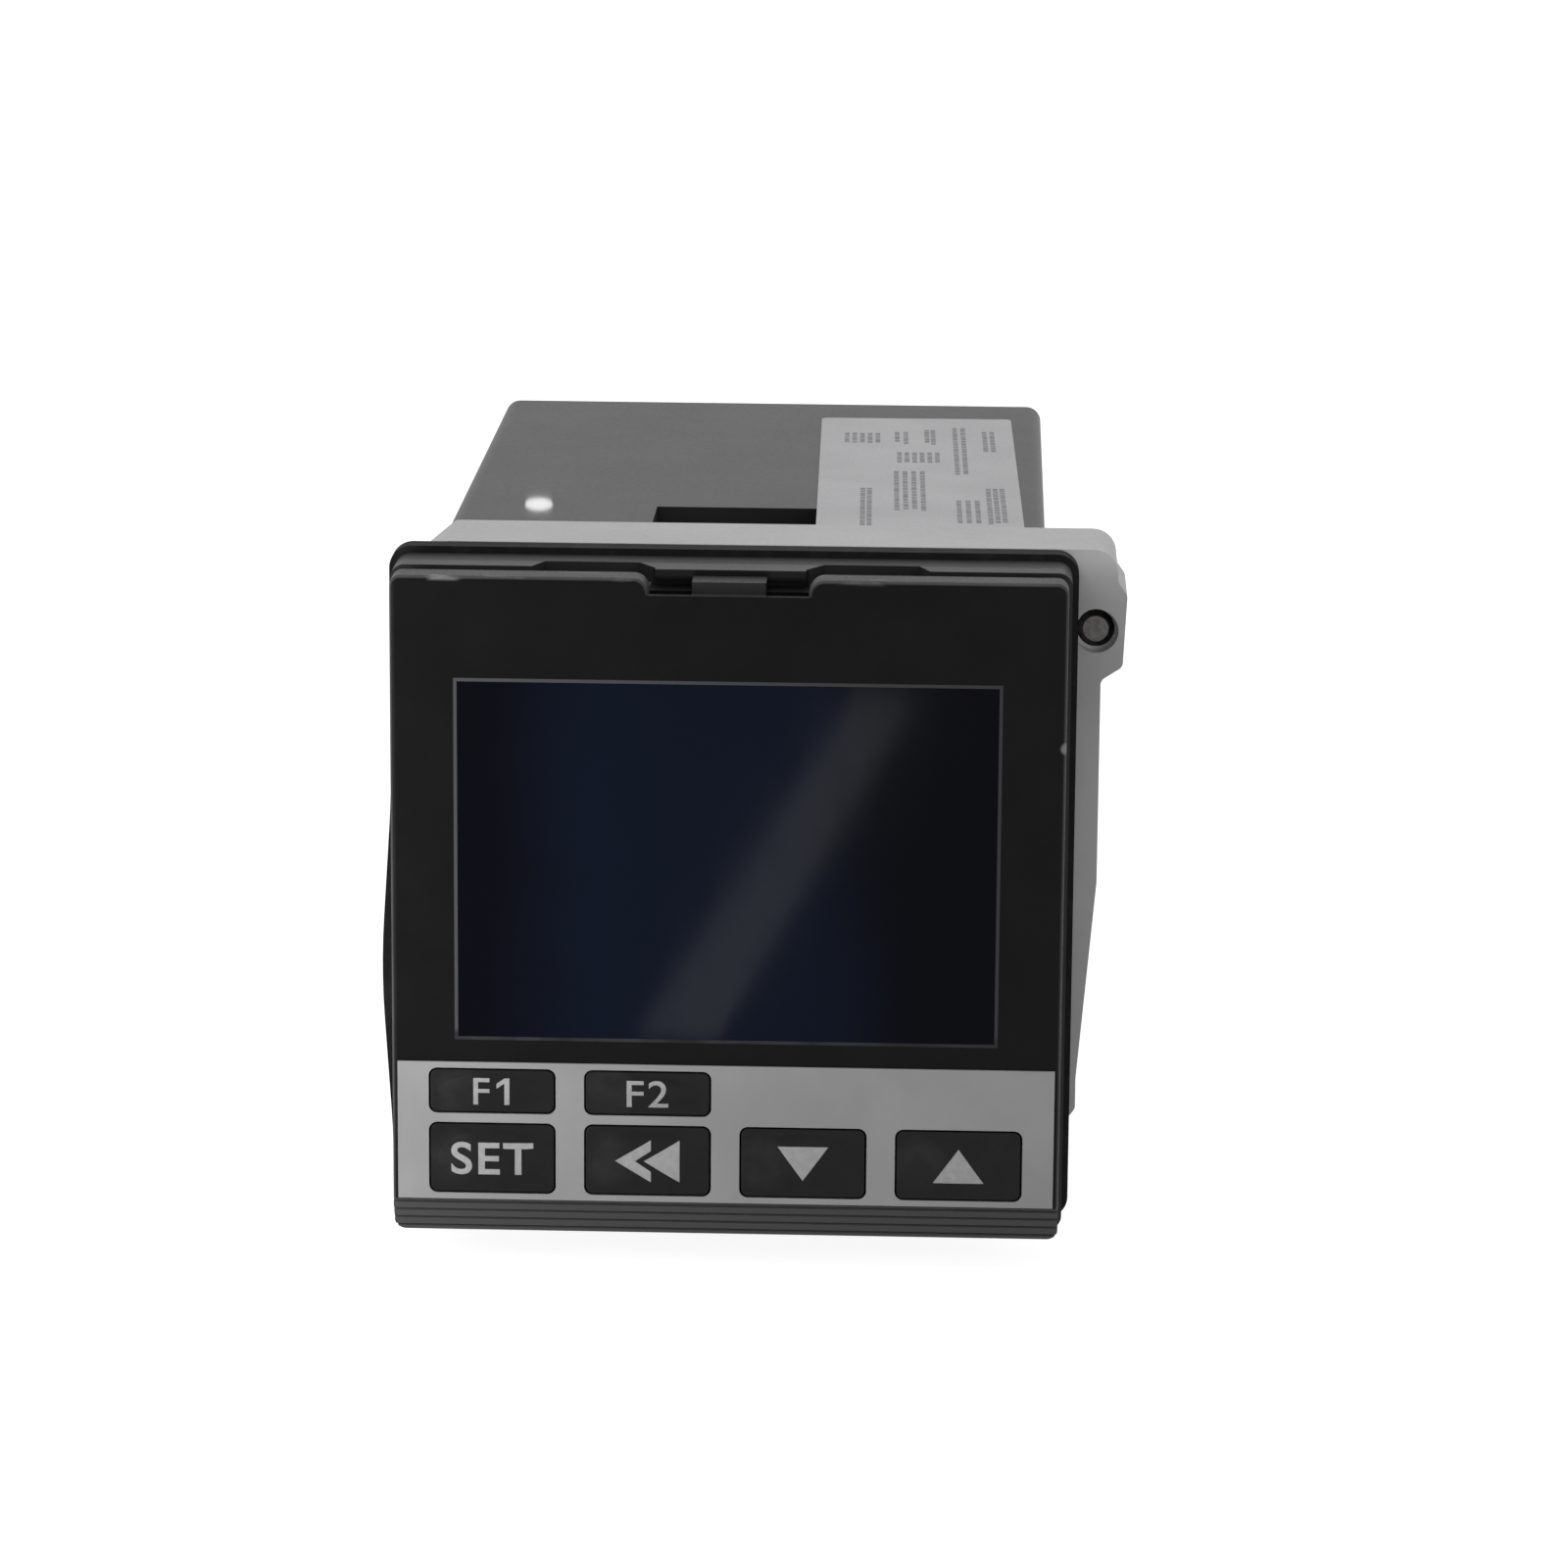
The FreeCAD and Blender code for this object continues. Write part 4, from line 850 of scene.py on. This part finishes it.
def key_dome(centre, half_width, half_height, rise):
    """Low oval dome that bulges to the front from a foot sunk a little behind a centre."""
    bpy.ops.mesh.primitive_circle_add(
        vertices=DOME_SIDES, radius=half_width, fill_type="NGON", location=centre + Vector((0, DOME_SINK, 0)),
        rotation=(QUARTER_TURN, 0, 0),
    )
    dome = named("dome")
    dome.scale.y = half_height / half_width
    apply_place(dome)
    edit_all(dome, "FACE")
    push(y=-DOME_SINK)
    before = 1.0
    for share in DOME_RINGS:
        push(y=-rise * (before**DOME_POWER - share**DOME_POWER))
        bpy.ops.transform.resize(value=(share / before, 1, share / before), center_override=centre)
        before = share
    pick_open_edges()
    bpy.ops.mesh.edge_face_add()
    close_edit()
    return dome


def key_cap(name):
    """Key with rounded corners and a low oval dome, and a rim at its back."""
    low, high = box_of("key_" + name)
    rim_front = high.y - KEY_RIM_DEPTH
    left, right = low.x + KEY_RIM, high.x - KEY_RIM
    land = low.y + KEY_LAND
    cap = block("cap_" + name, (low.x, rim_front, low.z), high)
    for x in (left, right):
        cut_across(cap, (x, 0, 0), (1, 0, 0))
    pick_faces(cap, lambda centre, normal: normal.y < -FACING and left < centre.x < right)
    push(y=land - rim_front)
    leave_edit()
    pick_edges(cap, lambda start, end: abs(start.y - end.y) > (rim_front - land) / 2)
    bpy.ops.mesh.bevel(offset=KEY_CORNER, segments=KEY_CORNER_STEPS, affect="EDGES")
    leave_edit()
    pick_faces(cap, lambda centre, normal: normal.y < -FACING and centre.y < land + TINY)
    bpy.ops.mesh.bevel(offset=KEY_EDGE, segments=KEY_EDGE_STEPS, affect="EDGES")
    close_edit()
    centre = Vector(((low.x + high.x) / 2, land, (low.z + high.z) / 2))
    half_width = (right - left) / 2 - DOME_SIDE
    dome = key_dome(centre, half_width, (high.z - low.z) / 2 - DOME_FOOT, KEY_LAND - DOME_TOP)
    apply_modifier(cap, "BOOLEAN", object=dome, operation="UNION", solver="EXACT")
    bpy.data.objects.remove(dome)
    return cap


def fit(piece, centre, width, height):
    """Centres a flat mark on a point of the front and gives it a width and a height."""
    only(piece)
    bpy.ops.object.origin_set(type="ORIGIN_GEOMETRY", center="BOUNDS")
    size = piece.dimensions
    piece.location = centre
    piece.scale = (width / size.x, 1, height / size.z)
    apply_place(piece)


def word_mark(name, centre, words, width, height, weight):
    """Flat word facing the front, its strokes thickened by a weight."""
    bpy.ops.object.text_add(rotation=(QUARTER_TURN, 0, 0))
    mark = named(name)
    mark.data.body = words
    mark.data.offset = weight
    mark.data.space_character = LETTER_SPACING
    bpy.ops.object.convert(target="MESH")
    apply_place(mark)
    fit(mark, centre, width, height)
    return mark


def figure_one(name, centre):
    """Flat figure one facing the front: a stem with a flag at its head."""
    bpy.ops.mesh.primitive_plane_add(size=1, rotation=(QUARTER_TURN, 0, 0))
    mark = named(name)
    mark.scale = (FIGURE_STROKE, LETTER_HEIGHT, 1)
    mark.location = centre
    apply_place(mark)
    top = centre.z + LETTER_HEIGHT / 2
    left = centre.x - FIGURE_STROKE / 2
    cut_across(mark, (0, 0, top - FIGURE_STROKE), (0, 0, 1))
    pick_edges(mark, lambda start, end: max(start.x, end.x) < left + TINY and min(start.z, end.z) > centre.z)
    push(x=-FIGURE_FLAG, z=-FIGURE_FLAG * FIGURE_FLAG_SLOPE)
    leave_edit()
    return mark


def arrow_mark(name, centre, width, height, turn):
    """Flat triangle facing the front, turned about the view."""
    bpy.ops.mesh.primitive_circle_add(vertices=3, radius=1, fill_type="NGON", rotation=(QUARTER_TURN, 0, 0))
    mark = named(name)
    mark.rotation_euler.rotate_axis("Z", turn)
    apply_place(mark)
    fit(mark, centre, width, height)
    return mark


def chevron_mark(name, centre, width, height):
    """Flat open chevron that points left, with upright ends."""
    mark = arrow_mark(name, centre, width, height, QUARTER_TURN)
    notch = centre.x - width / 2 + BACK_NOTCH
    rise = (height / 2 - BACK_END) / (width - BACK_NOTCH)
    for side in (1, -1):
        cut_across(mark, (notch, centre.y, centre.z), (rise, 0, side))
    pick_faces(mark, lambda middle, normal: abs(middle.z - centre.z) < rise * (middle.x - notch))
    bpy.ops.mesh.delete(type="FACE")
    leave_edit()
    return mark


def slice_finely(mark):
    """Cuts a flat mark into small faces so that it can follow a dome."""
    low = [min(point.co[axis] for point in mark.data.vertices) for axis in range(3)]
    high = [max(point.co[axis] for point in mark.data.vertices) for axis in range(3)]
    for axis, direction in ((AXIS_X, (1, 0, 0)), (AXIS_Z, (0, 0, 1))):
        slices = math.ceil((high[axis] - low[axis]) / LEGEND_SLICE)
        for i in range(1, slices):
            place = Vector(direction) * (low[axis] + (high[axis] - low[axis]) * i / slices)
            cut_across(mark, place, direction)


def key_legend(name, cap):
    """Printed legend that follows a key's dome."""
    low, high = box_of("key_" + name)
    centre = Vector(((low.x + high.x) / 2, low.y - LEGEND_STANDOFF, (low.z + high.z) / 2))
    title = "legend_" + name
    if name in WORD_LEGENDS:
        mark = word_mark(title, centre, *WORD_LEGENDS[name])
    elif name == "f1":
        letter_centre = centre + Vector((LETTER_PLACE, 0, 0))
        letter = word_mark(title, letter_centre, "F", LETTER_WIDTH, LETTER_HEIGHT, LETTER_WEIGHT)
        figure = figure_one("figure", centre + Vector((FIGURE_PLACE, 0, 0)))
        mark = join([letter, figure], title)
    elif name == "back":
        left = centre.x - BACK_WIDTH / 2
        chevron_centre = Vector((left + BACK_ARROW / 2, centre.y, centre.z))
        arrow_centre = Vector((left + BACK_WIDTH - BACK_ARROW / 2, centre.y, centre.z))
        chevron = chevron_mark(title, chevron_centre, BACK_ARROW, BACK_HEIGHT)
        arrow = arrow_mark("arrow", arrow_centre, BACK_ARROW, BACK_HEIGHT, QUARTER_TURN)
        mark = join([chevron, arrow], title)
    else:
        turn = math.pi if name == "down" else 0.0
        mark = arrow_mark(title, centre, ARROW_WIDTH, ARROW_HEIGHT, turn)
    slice_finely(mark)
    apply_modifier(mark, "SHRINKWRAP", target=cap, wrap_method="PROJECT", use_project_y=True)
    apply_modifier(mark, "SOLIDIFY", thickness=LEGEND_DEPTH, offset=-1)
    mark.location.y = -LEGEND_PROUD
    apply_place(mark)
    return mark


def display_line(material):
    """Thin printed frame at the window's edge."""
    low, high = box_of("display_window")
    front = low.y - LINE_PROUD
    centre = ((low.x + high.x) / 2, front, (low.z + high.z) / 2)
    bpy.ops.mesh.primitive_plane_add(size=1, location=centre, rotation=(QUARTER_TURN, 0, 0))
    line = named("display_line")
    line.scale = (high.x - low.x + LINE_WIDTH, high.z - low.z + LINE_WIDTH, 1)
    apply_place(line)
    pick_faces(line, lambda centre, normal: True)
    bpy.ops.mesh.inset(thickness=LINE_WIDTH)
    bpy.ops.mesh.delete(type="FACE")
    leave_edit()
    apply_modifier(line, "SOLIDIFY", thickness=LINE_DEPTH, offset=-1)
    dress(line, "chassis", material)


def print_words():
    """Places (across, along, length) of the marks that fill the label's blocks."""
    words = []
    for left, right, rear, front in PRINT_BLOCKS:
        lines = round((right - left) / PRINT_PITCH)
        for line in range(lines):
            across = left + (line + 0.5) * (right - left) / lines
            start = rear
            while start + PRINT_WORDS[-1] < front:
                length = min(PRINT_WORDS[len(words) % len(PRINT_WORDS)], front - start)
                words.append((across, -start - length / 2, length))
                start += length + PRINT_SPACE
    return words


def label_print(material):
    """Rows of small printed marks on the label."""
    top = box_of("rating_label")[1].z
    bpy.ops.mesh.primitive_plane_add(size=1)
    marks = named("label_print")
    edit_all(marks, "FACE")
    bpy.ops.mesh.delete(type="VERT")
    for across, along_label, length in print_words():
        centre = (across, along_label, 0)
        bpy.ops.mesh.primitive_plane_add(size=1, location=centre)
        bpy.ops.transform.resize(value=(PRINT_HEIGHT, length, 1), center_override=centre)
    leave_edit()
    marks.location = (*LABEL_CORNER, top + PRINT_DEPTH / 2)
    marks.rotation_euler.z = LABEL_TURN
    apply_place(marks)
    apply_modifier(marks, "SOLIDIFY", thickness=PRINT_DEPTH, offset=-1)
    dress(marks, "case", material)


def copy_of(piece, move=(0, 0, 0), turn=0.0, pivot=(0, 0, 0)):
    """Copy of a piece with its own mesh, turned about X at a point and moved."""
    only(piece)
    bpy.ops.object.duplicate(linked=False)
    copy = bpy.context.object
    edit_all(copy, "VERT")
    if turn:
        bpy.ops.transform.rotate(value=turn, orient_axis="X", center_override=pivot)
    bpy.ops.transform.translate(value=move)
    leave_edit()
    return copy


def turned_screw(name, axis, tip, top, shank, head, head_depth, point):
    """Slotted screw along Y with a bevelled point and a rounded head."""
    x, z = axis
    seat = top - head_depth
    bpy.ops.mesh.primitive_cylinder_add(
        vertices=SCREW_SIDES, radius=shank, depth=seat - tip - point,
        location=(x, (seat + tip + point) / 2, z), rotation=(QUARTER_TURN, 0, 0),
    )
    screw = named(name)
    apply_place(screw)
    pick_faces(screw, lambda centre, normal: normal.y < -FACING)
    push(y=-point)
    slim = (shank - point) / shank
    bpy.ops.transform.resize(value=(slim, 1, slim), center_override=(x, tip, z))
    leave_edit()
    pick_faces(screw, lambda centre, normal: normal.y > FACING)
    push()
    bpy.ops.transform.resize(value=(head / shank, 1, head / shank), center_override=(x, seat, z))
    push(y=head_depth)
    bpy.ops.mesh.bevel(offset=SCREW_EDGE, segments=SCREW_EDGE_STEPS, affect="EDGES")
    close_edit()
    slot_low = (x - 2 * head, top - SCREW_SLOT_DEPTH, z - SCREW_SLOT_WIDTH / 2)
    slot_high = (x + 2 * head, top + head, z + SCREW_SLOT_WIDTH / 2)
    cut_away(screw, block("slot", slot_low, slot_high))
    return screw


def thread_ridge(axis, start, end, core, crest, pitch):
    """Helical ridge of a thread, closed at both ends."""
    x, z = axis
    reach = (crest - core) / RIDGE_RISE
    bpy.ops.mesh.primitive_circle_add(
        vertices=3, radius=reach, fill_type="NOTHING", location=(x + crest - reach, start, z),
        rotation=(0, 0, -QUARTER_TURN),
    )
    ridge = named("ridge")
    ridge.scale.x = RIDGE_WIDTH
    bpy.context.scene.cursor.location = (x, start, z)
    bpy.ops.object.transform_apply(location=False, rotation=True, scale=True)
    bpy.ops.object.origin_set(type="ORIGIN_CURSOR")
    turns = int((end - start) / pitch)
    apply_modifier(
        ridge, "SCREW", axis="Y", screw_offset=pitch, iterations=turns,
        steps=THREAD_STEPS, render_steps=THREAD_STEPS,
    )
    apply_place(ridge)
    edit_all(ridge, "EDGE")
    bpy.ops.mesh.fill_holes(sides=3)
    close_edit()
    return ridge


def jack_screw(side, material):
    """Threaded jack screw of the clamp bracket."""
    node = "jack_screw_" + side
    low, high = box_of(node)
    axis = ((low.x + high.x) / 2, (low.z + high.z) / 2)
    head = (high.x - low.x) / 2
    shank = turned_screw("shank", axis, low.y, high.y, JACK_CORE, head, JACK_HEAD_DEPTH, JACK_POINT)
    seat = high.y - JACK_HEAD_DEPTH
    ridge = thread_ridge(axis, low.y + JACK_POINT, seat - JACK_PITCH, JACK_CORE, JACK_CREST, JACK_PITCH)
    screw = join([shank, ridge], "threaded_" + node)
    dress(screw, side + "_screw", material)
    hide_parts(node)


def terminal_screws(material):
    """Slotted screws of the terminals, one modelled and the rest copied."""
    low, high = box_of("terminal_screws")
    first_x, first_z = low.x + TERMINAL_HEAD, low.z + TERMINAL_HEAD
    across = (high.x - low.x - 2 * TERMINAL_HEAD) / (TERMINAL_COLUMNS - 1)
    up = (high.z - low.z - 2 * TERMINAL_HEAD) / (TERMINAL_ROWS - 1)
    first = turned_screw(
        "terminal_screw", (first_x, first_z), low.y, high.y,
        TERMINAL_SHANK, TERMINAL_HEAD, TERMINAL_HEAD_DEPTH, SCREW_EDGE,
    )
    screws = [first]
    for column in range(TERMINAL_COLUMNS):
        for row in range(TERMINAL_ROWS):
            if column or row:
                screws.append(copy_of(first, (column * across, 0, row * up)))
    screw = join(screws, "slotted_terminal_screws")
    dress(screw, "case", material)
    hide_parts("terminal_screws")


def capacitor_cans(material):
    """Pair of sleeved cans lying on their board, crimped near the base and scored on the end."""
    low, high = box_of("filter_capacitors")
    radius = (high.y - low.y) / 2
    middle = ((low.y + high.y) / 2, low.z + radius)
    bpy.ops.mesh.primitive_cylinder_add(
        vertices=CAN_SIDES, radius=radius, depth=CAN_CRIMP[0], rotation=(0, QUARTER_TURN, 0),
        location=(high.x - CAN_CRIMP[0] / 2, *middle),
    )
    can = named("can")
    apply_place(can)
    body_end = high.x - low.x - CAN_SHOULDER
    steps = [(CAN_CRIMP[1], radius - CAN_CRIMP_DEPTH), (CAN_CRIMP[2], radius), (body_end, radius)]
    for out, inward in CAN_SHOULDER_STEPS:
        steps.append((body_end + CAN_SHOULDER * out, radius - CAN_SHOULDER * inward))
    steps.append((body_end + CAN_SHOULDER, radius - CAN_LIP - CAN_SHOULDER))
    steps.append((body_end + CAN_SHOULDER - CAN_RECESS, radius - CAN_LIP - CAN_SHOULDER))
    pick_faces(can, lambda centre, normal: normal.x < -FACING)
    reach, width = CAN_CRIMP[0], radius
    for new_reach, new_width in steps:
        push(x=reach - new_reach)
        share = new_width / width
        bpy.ops.transform.resize(value=(1, share, share), center_override=(0, *middle))
        reach, width = new_reach, new_width
    close_edit()
    end = high.x - reach
    centre = Vector((end, *middle))
    depth = Vector((VENT_DEPTH, 0, 0))
    for across, up in ((VENT_REACH, VENT_WIDTH / 2), (VENT_WIDTH / 2, VENT_REACH)):
        corner = Vector((0, across, up))
        cut_away(can, block("vent", centre - corner - depth, centre + corner + depth))
    other = copy_of(can, (0, 0, high.z - low.z - 2 * radius))
    cans = join([can, other], "capacitor_cans")
    dress(cans, "chassis", material)
    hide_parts("filter_capacitors")


def chip_lead(base, middle, half, height):
    """One bent lead at the middle of a chip's upper side: out, down and along the board."""
    start = Vector((base + height, middle.x, middle.y + half))
    reach = Vector((LEAD_DEPTH / 2, LEAD_WIDTH / 2, 0))
    inner, outer = Vector((0, 0, LEAD_OUT / 2)), Vector((0, 0, LEAD_OUT))
    lead = block("lead", start - reach - inner, start + reach + outer)
    pick_faces(lead, lambda centre, normal: normal.z > FACING)
    push(x=LEAD_DEPTH - height + LEAD_DEPTH / 2, z=LEAD_DEPTH)
    push(x=-LEAD_DEPTH, z=LEAD_DEPTH / 2)
    push(z=LEAD_FOOT)
    close_edit()
    return lead


def control_chips(black, tinned):
    """Two square chips with a bevelled top, a dimple and leads on all four sides."""
    low, high = box_of("control_chips")
    half = (high.z - low.z) / 2
    first = Vector((low.y + half, (low.z + high.z) / 2))
    apart = high.y - low.y - 2 * half
    body_low = (low.x + CHIP_LIFT, first.x - half, first.y - half)
    body = block("body", body_low, (high.x, first.x + half, first.y + half))
    pick_faces(body, lambda centre, normal: normal.x > FACING)
    bpy.ops.mesh.bevel(offset=CHIP_EDGE, segments=CHIP_EDGE_STEPS, affect="EDGES")
    leave_edit()
    bpy.ops.mesh.primitive_cylinder_add(
        vertices=DIMPLE_SIDES, radius=DIMPLE_RADIUS, depth=2 * DIMPLE_DEPTH, rotation=(0, QUARTER_TURN, 0),
        location=(high.x, first.x - half + DIMPLE_INSET, first.y + half - DIMPLE_INSET),
    )
    dimple = named("dimple")
    apply_place(dimple)
    cut_away(body, dimple)
    lead = chip_lead(low.x, first, half, (high.x - low.x + CHIP_LIFT) / 2)
    side = [copy_of(lead, (0, (i - (LEADS_A_SIDE - 1) / 2) * LEAD_PITCH, 0)) for i in range(LEADS_A_SIDE)]
    bpy.data.objects.remove(lead)
    row = join(side, "row")
    rows = [copy_of(row, turn=i * QUARTER_TURN, pivot=(0, *first)) for i in range(1, 4)]
    leads = join([row] + rows, "chip_leads")
    leads = join([leads, copy_of(leads, (0, apart, 0))], "chip_leads")
    dress(leads, "chassis", tinned)
    chips = join([body, copy_of(body, (0, apart, 0))], "chip_bodies")
    dress(chips, "chassis", black)
    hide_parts("control_chips")


# Stage, camera and light


def floor_finish():
    """Pale floor that the camera, gloss and glass see as white, with the object's shadow on it."""
    material = new_finish("floor", (FLOOR_TONE, FLOOR_TONE, FLOOR_TONE), 1.0, specular=0.0)
    seen = seen_directly(material)
    shader = shader_of(material)
    shader.inputs["Emission Color"].default_value = (1, 1, 1, 1)
    link(material, product(material, seen, FLOOR_GLOW), shader.inputs["Emission Strength"])
    return material


def studio_world():
    """White surround for the camera, gloss and glass, and a dimmer one for plain light."""
    world = bpy.data.worlds.new("studio")
    bpy.context.scene.world = world
    world.use_nodes = True
    strength = ramp(world, seen_directly(world), 0.0, 1.0, SURROUND_LIGHT, 1.0)
    background = world.node_tree.nodes["Background"]
    background.inputs["Color"].default_value = (1, 1, 1, 1)
    link(world, strength, background.inputs["Strength"])


def lamp(name, shape, place, target, width, height, power):
    """Soft lamp that the camera doesn't see."""
    place, target = Vector(place), Vector(target)
    bpy.ops.object.light_add(type="AREA", location=place)
    light = named(name)
    light.data.shape = shape
    light.data.size = width
    light.data.size_y = height
    light.data.energy = power
    light.rotation_mode = "QUATERNION"
    light.rotation_quaternion = (target - place).to_track_quat("-Z", "Y")
    light.visible_camera = False
    return light


def studio():
    """Floor, surround, lamps and camera."""
    bpy.ops.mesh.primitive_plane_add(size=FLOOR_SIZE, location=(0, 0, cad_box[0].z))
    floor = named("floor")
    floor.data.materials.append(floor_finish())
    studio_world()
    for name, settings in LAMPS.items():
        lamp(name, *settings)
    band_run = BAND_END - BAND_START
    band_middle = (BAND_START + BAND_END) / 2
    above = band_middle + Vector((0, 0, 1))
    band = lamp("band_lamp", "RECTANGLE", band_middle, above, BAND_WIDTH, band_run.length, BAND_POWER)
    band.rotation_mode = "XYZ"
    band.rotation_euler = (math.pi, 0, math.atan2(band_run.y, band_run.x) - QUARTER_TURN)
    bpy.ops.object.camera_add(location=CAMERA_PLACE)
    camera = named("camera")
    camera.rotation_mode = "QUATERNION"
    aim = (CAMERA_TARGET - CAMERA_PLACE).to_track_quat("-Z", "Y")
    camera.rotation_quaternion = aim @ Quaternion((0, 0, 1), CAMERA_ROLL)
    camera.data.lens = CAMERA_LENS
    bpy.context.scene.camera = camera
    bpy.context.scene.view_settings.view_transform = "Standard"


def solids():
    """Gives every solid that stays its material."""
    black = moulded(
        "black_plastic", (0.012, 0.012, 0.0125), (0.018, 0.018, 0.0185), 0.5, size=0.3, depth=0.006, specular=0.3,
    )
    grey = moulded("grey_plastic", (0.18, 0.18, 0.18), (0.22, 0.22, 0.22), 0.45, size=0.3, depth=0.004)
    gloss = moulded("relay_plastic", (0.014, 0.014, 0.015), (0.02, 0.02, 0.021), 0.3, size=0.6, depth=0.003)
    ferrite = moulded("ferrite", (0.035, 0.035, 0.037), (0.06, 0.06, 0.062), 0.6, size=0.12, depth=0.01)
    zinc = plated_finish("zinc_plate", (0.3, 0.3, 0.3), (0.42, 0.42, 0.41), 0.42)
    tinned = plated_finish("tinned_brass", (0.6, 0.54, 0.4), (0.66, 0.6, 0.46), 0.36)
    upright = board_finish("upright_board", AXIS_Y, AXIS_Z)
    finishes = {
        "case_sleeve": case_finish(),
        "panel_gasket": rubber_finish(),
        "rating_label": film_finish("label_film", (0.33, 0.33, 0.34), (0.37, 0.37, 0.38)),
        "terminal_block": black,
        "terminal_contacts": tinned,
        "terminal_clamps": zinc,
        "front_bezel": bezel_finish(),
        "display_window": window_finish(),
        "key_fascia": film_finish("fascia_film", (0.265, 0.265, 0.265), (0.3, 0.3, 0.3)),
        "lcd_glass": glass_finish(),
        "lcd_backlight": milky_finish(),
        "display_board": board_finish("display_board", AXIS_X, AXIS_Z),
        "power_board": upright,
        "output_board": upright,
        "signal_board": upright,
        "key_switches": black,
        "board_headers": black,
        "terminal_sockets": black,
        "transformer_core": ferrite,
        "transformer_coil": coil_finish(),
        "output_relays": gloss,
        "clamp_bracket": bracket_finish(),
    }
    for node, material in finishes.items():
        cover(node, material)
    for name in KEYS:
        cover("plunger_" + name, grey)
    return zinc, black, tinned


zinc_plate, black_plastic, tinned_brass = solids()
key_film = key_finish()
legend_ink = ink_finish("legend_ink", (0.31, 0.31, 0.31), (0.35, 0.35, 0.35))
for key in KEYS:
    cap = key_cap(key)
    legend = key_legend(key, cap)
    dress(cap, "key_" + key, key_film)
    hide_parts("key_" + key)
    dress(legend, "key_" + key, legend_ink, LEGEND_SMOOTH_ANGLE)
display_line(line_finish())
label_print(ink_finish("label_ink", (0.12, 0.12, 0.13), (0.2, 0.2, 0.21)))
dark_steel = plated_finish("dark_steel", (0.06, 0.056, 0.055), (0.1, 0.094, 0.093), 0.4)
jack_screw("upper", dark_steel)
jack_screw("lower", dark_steel)
terminal_screws(zinc_plate)
capacitor_cans(can_finish())
control_chips(black_plastic, tinned_brass)
studio()
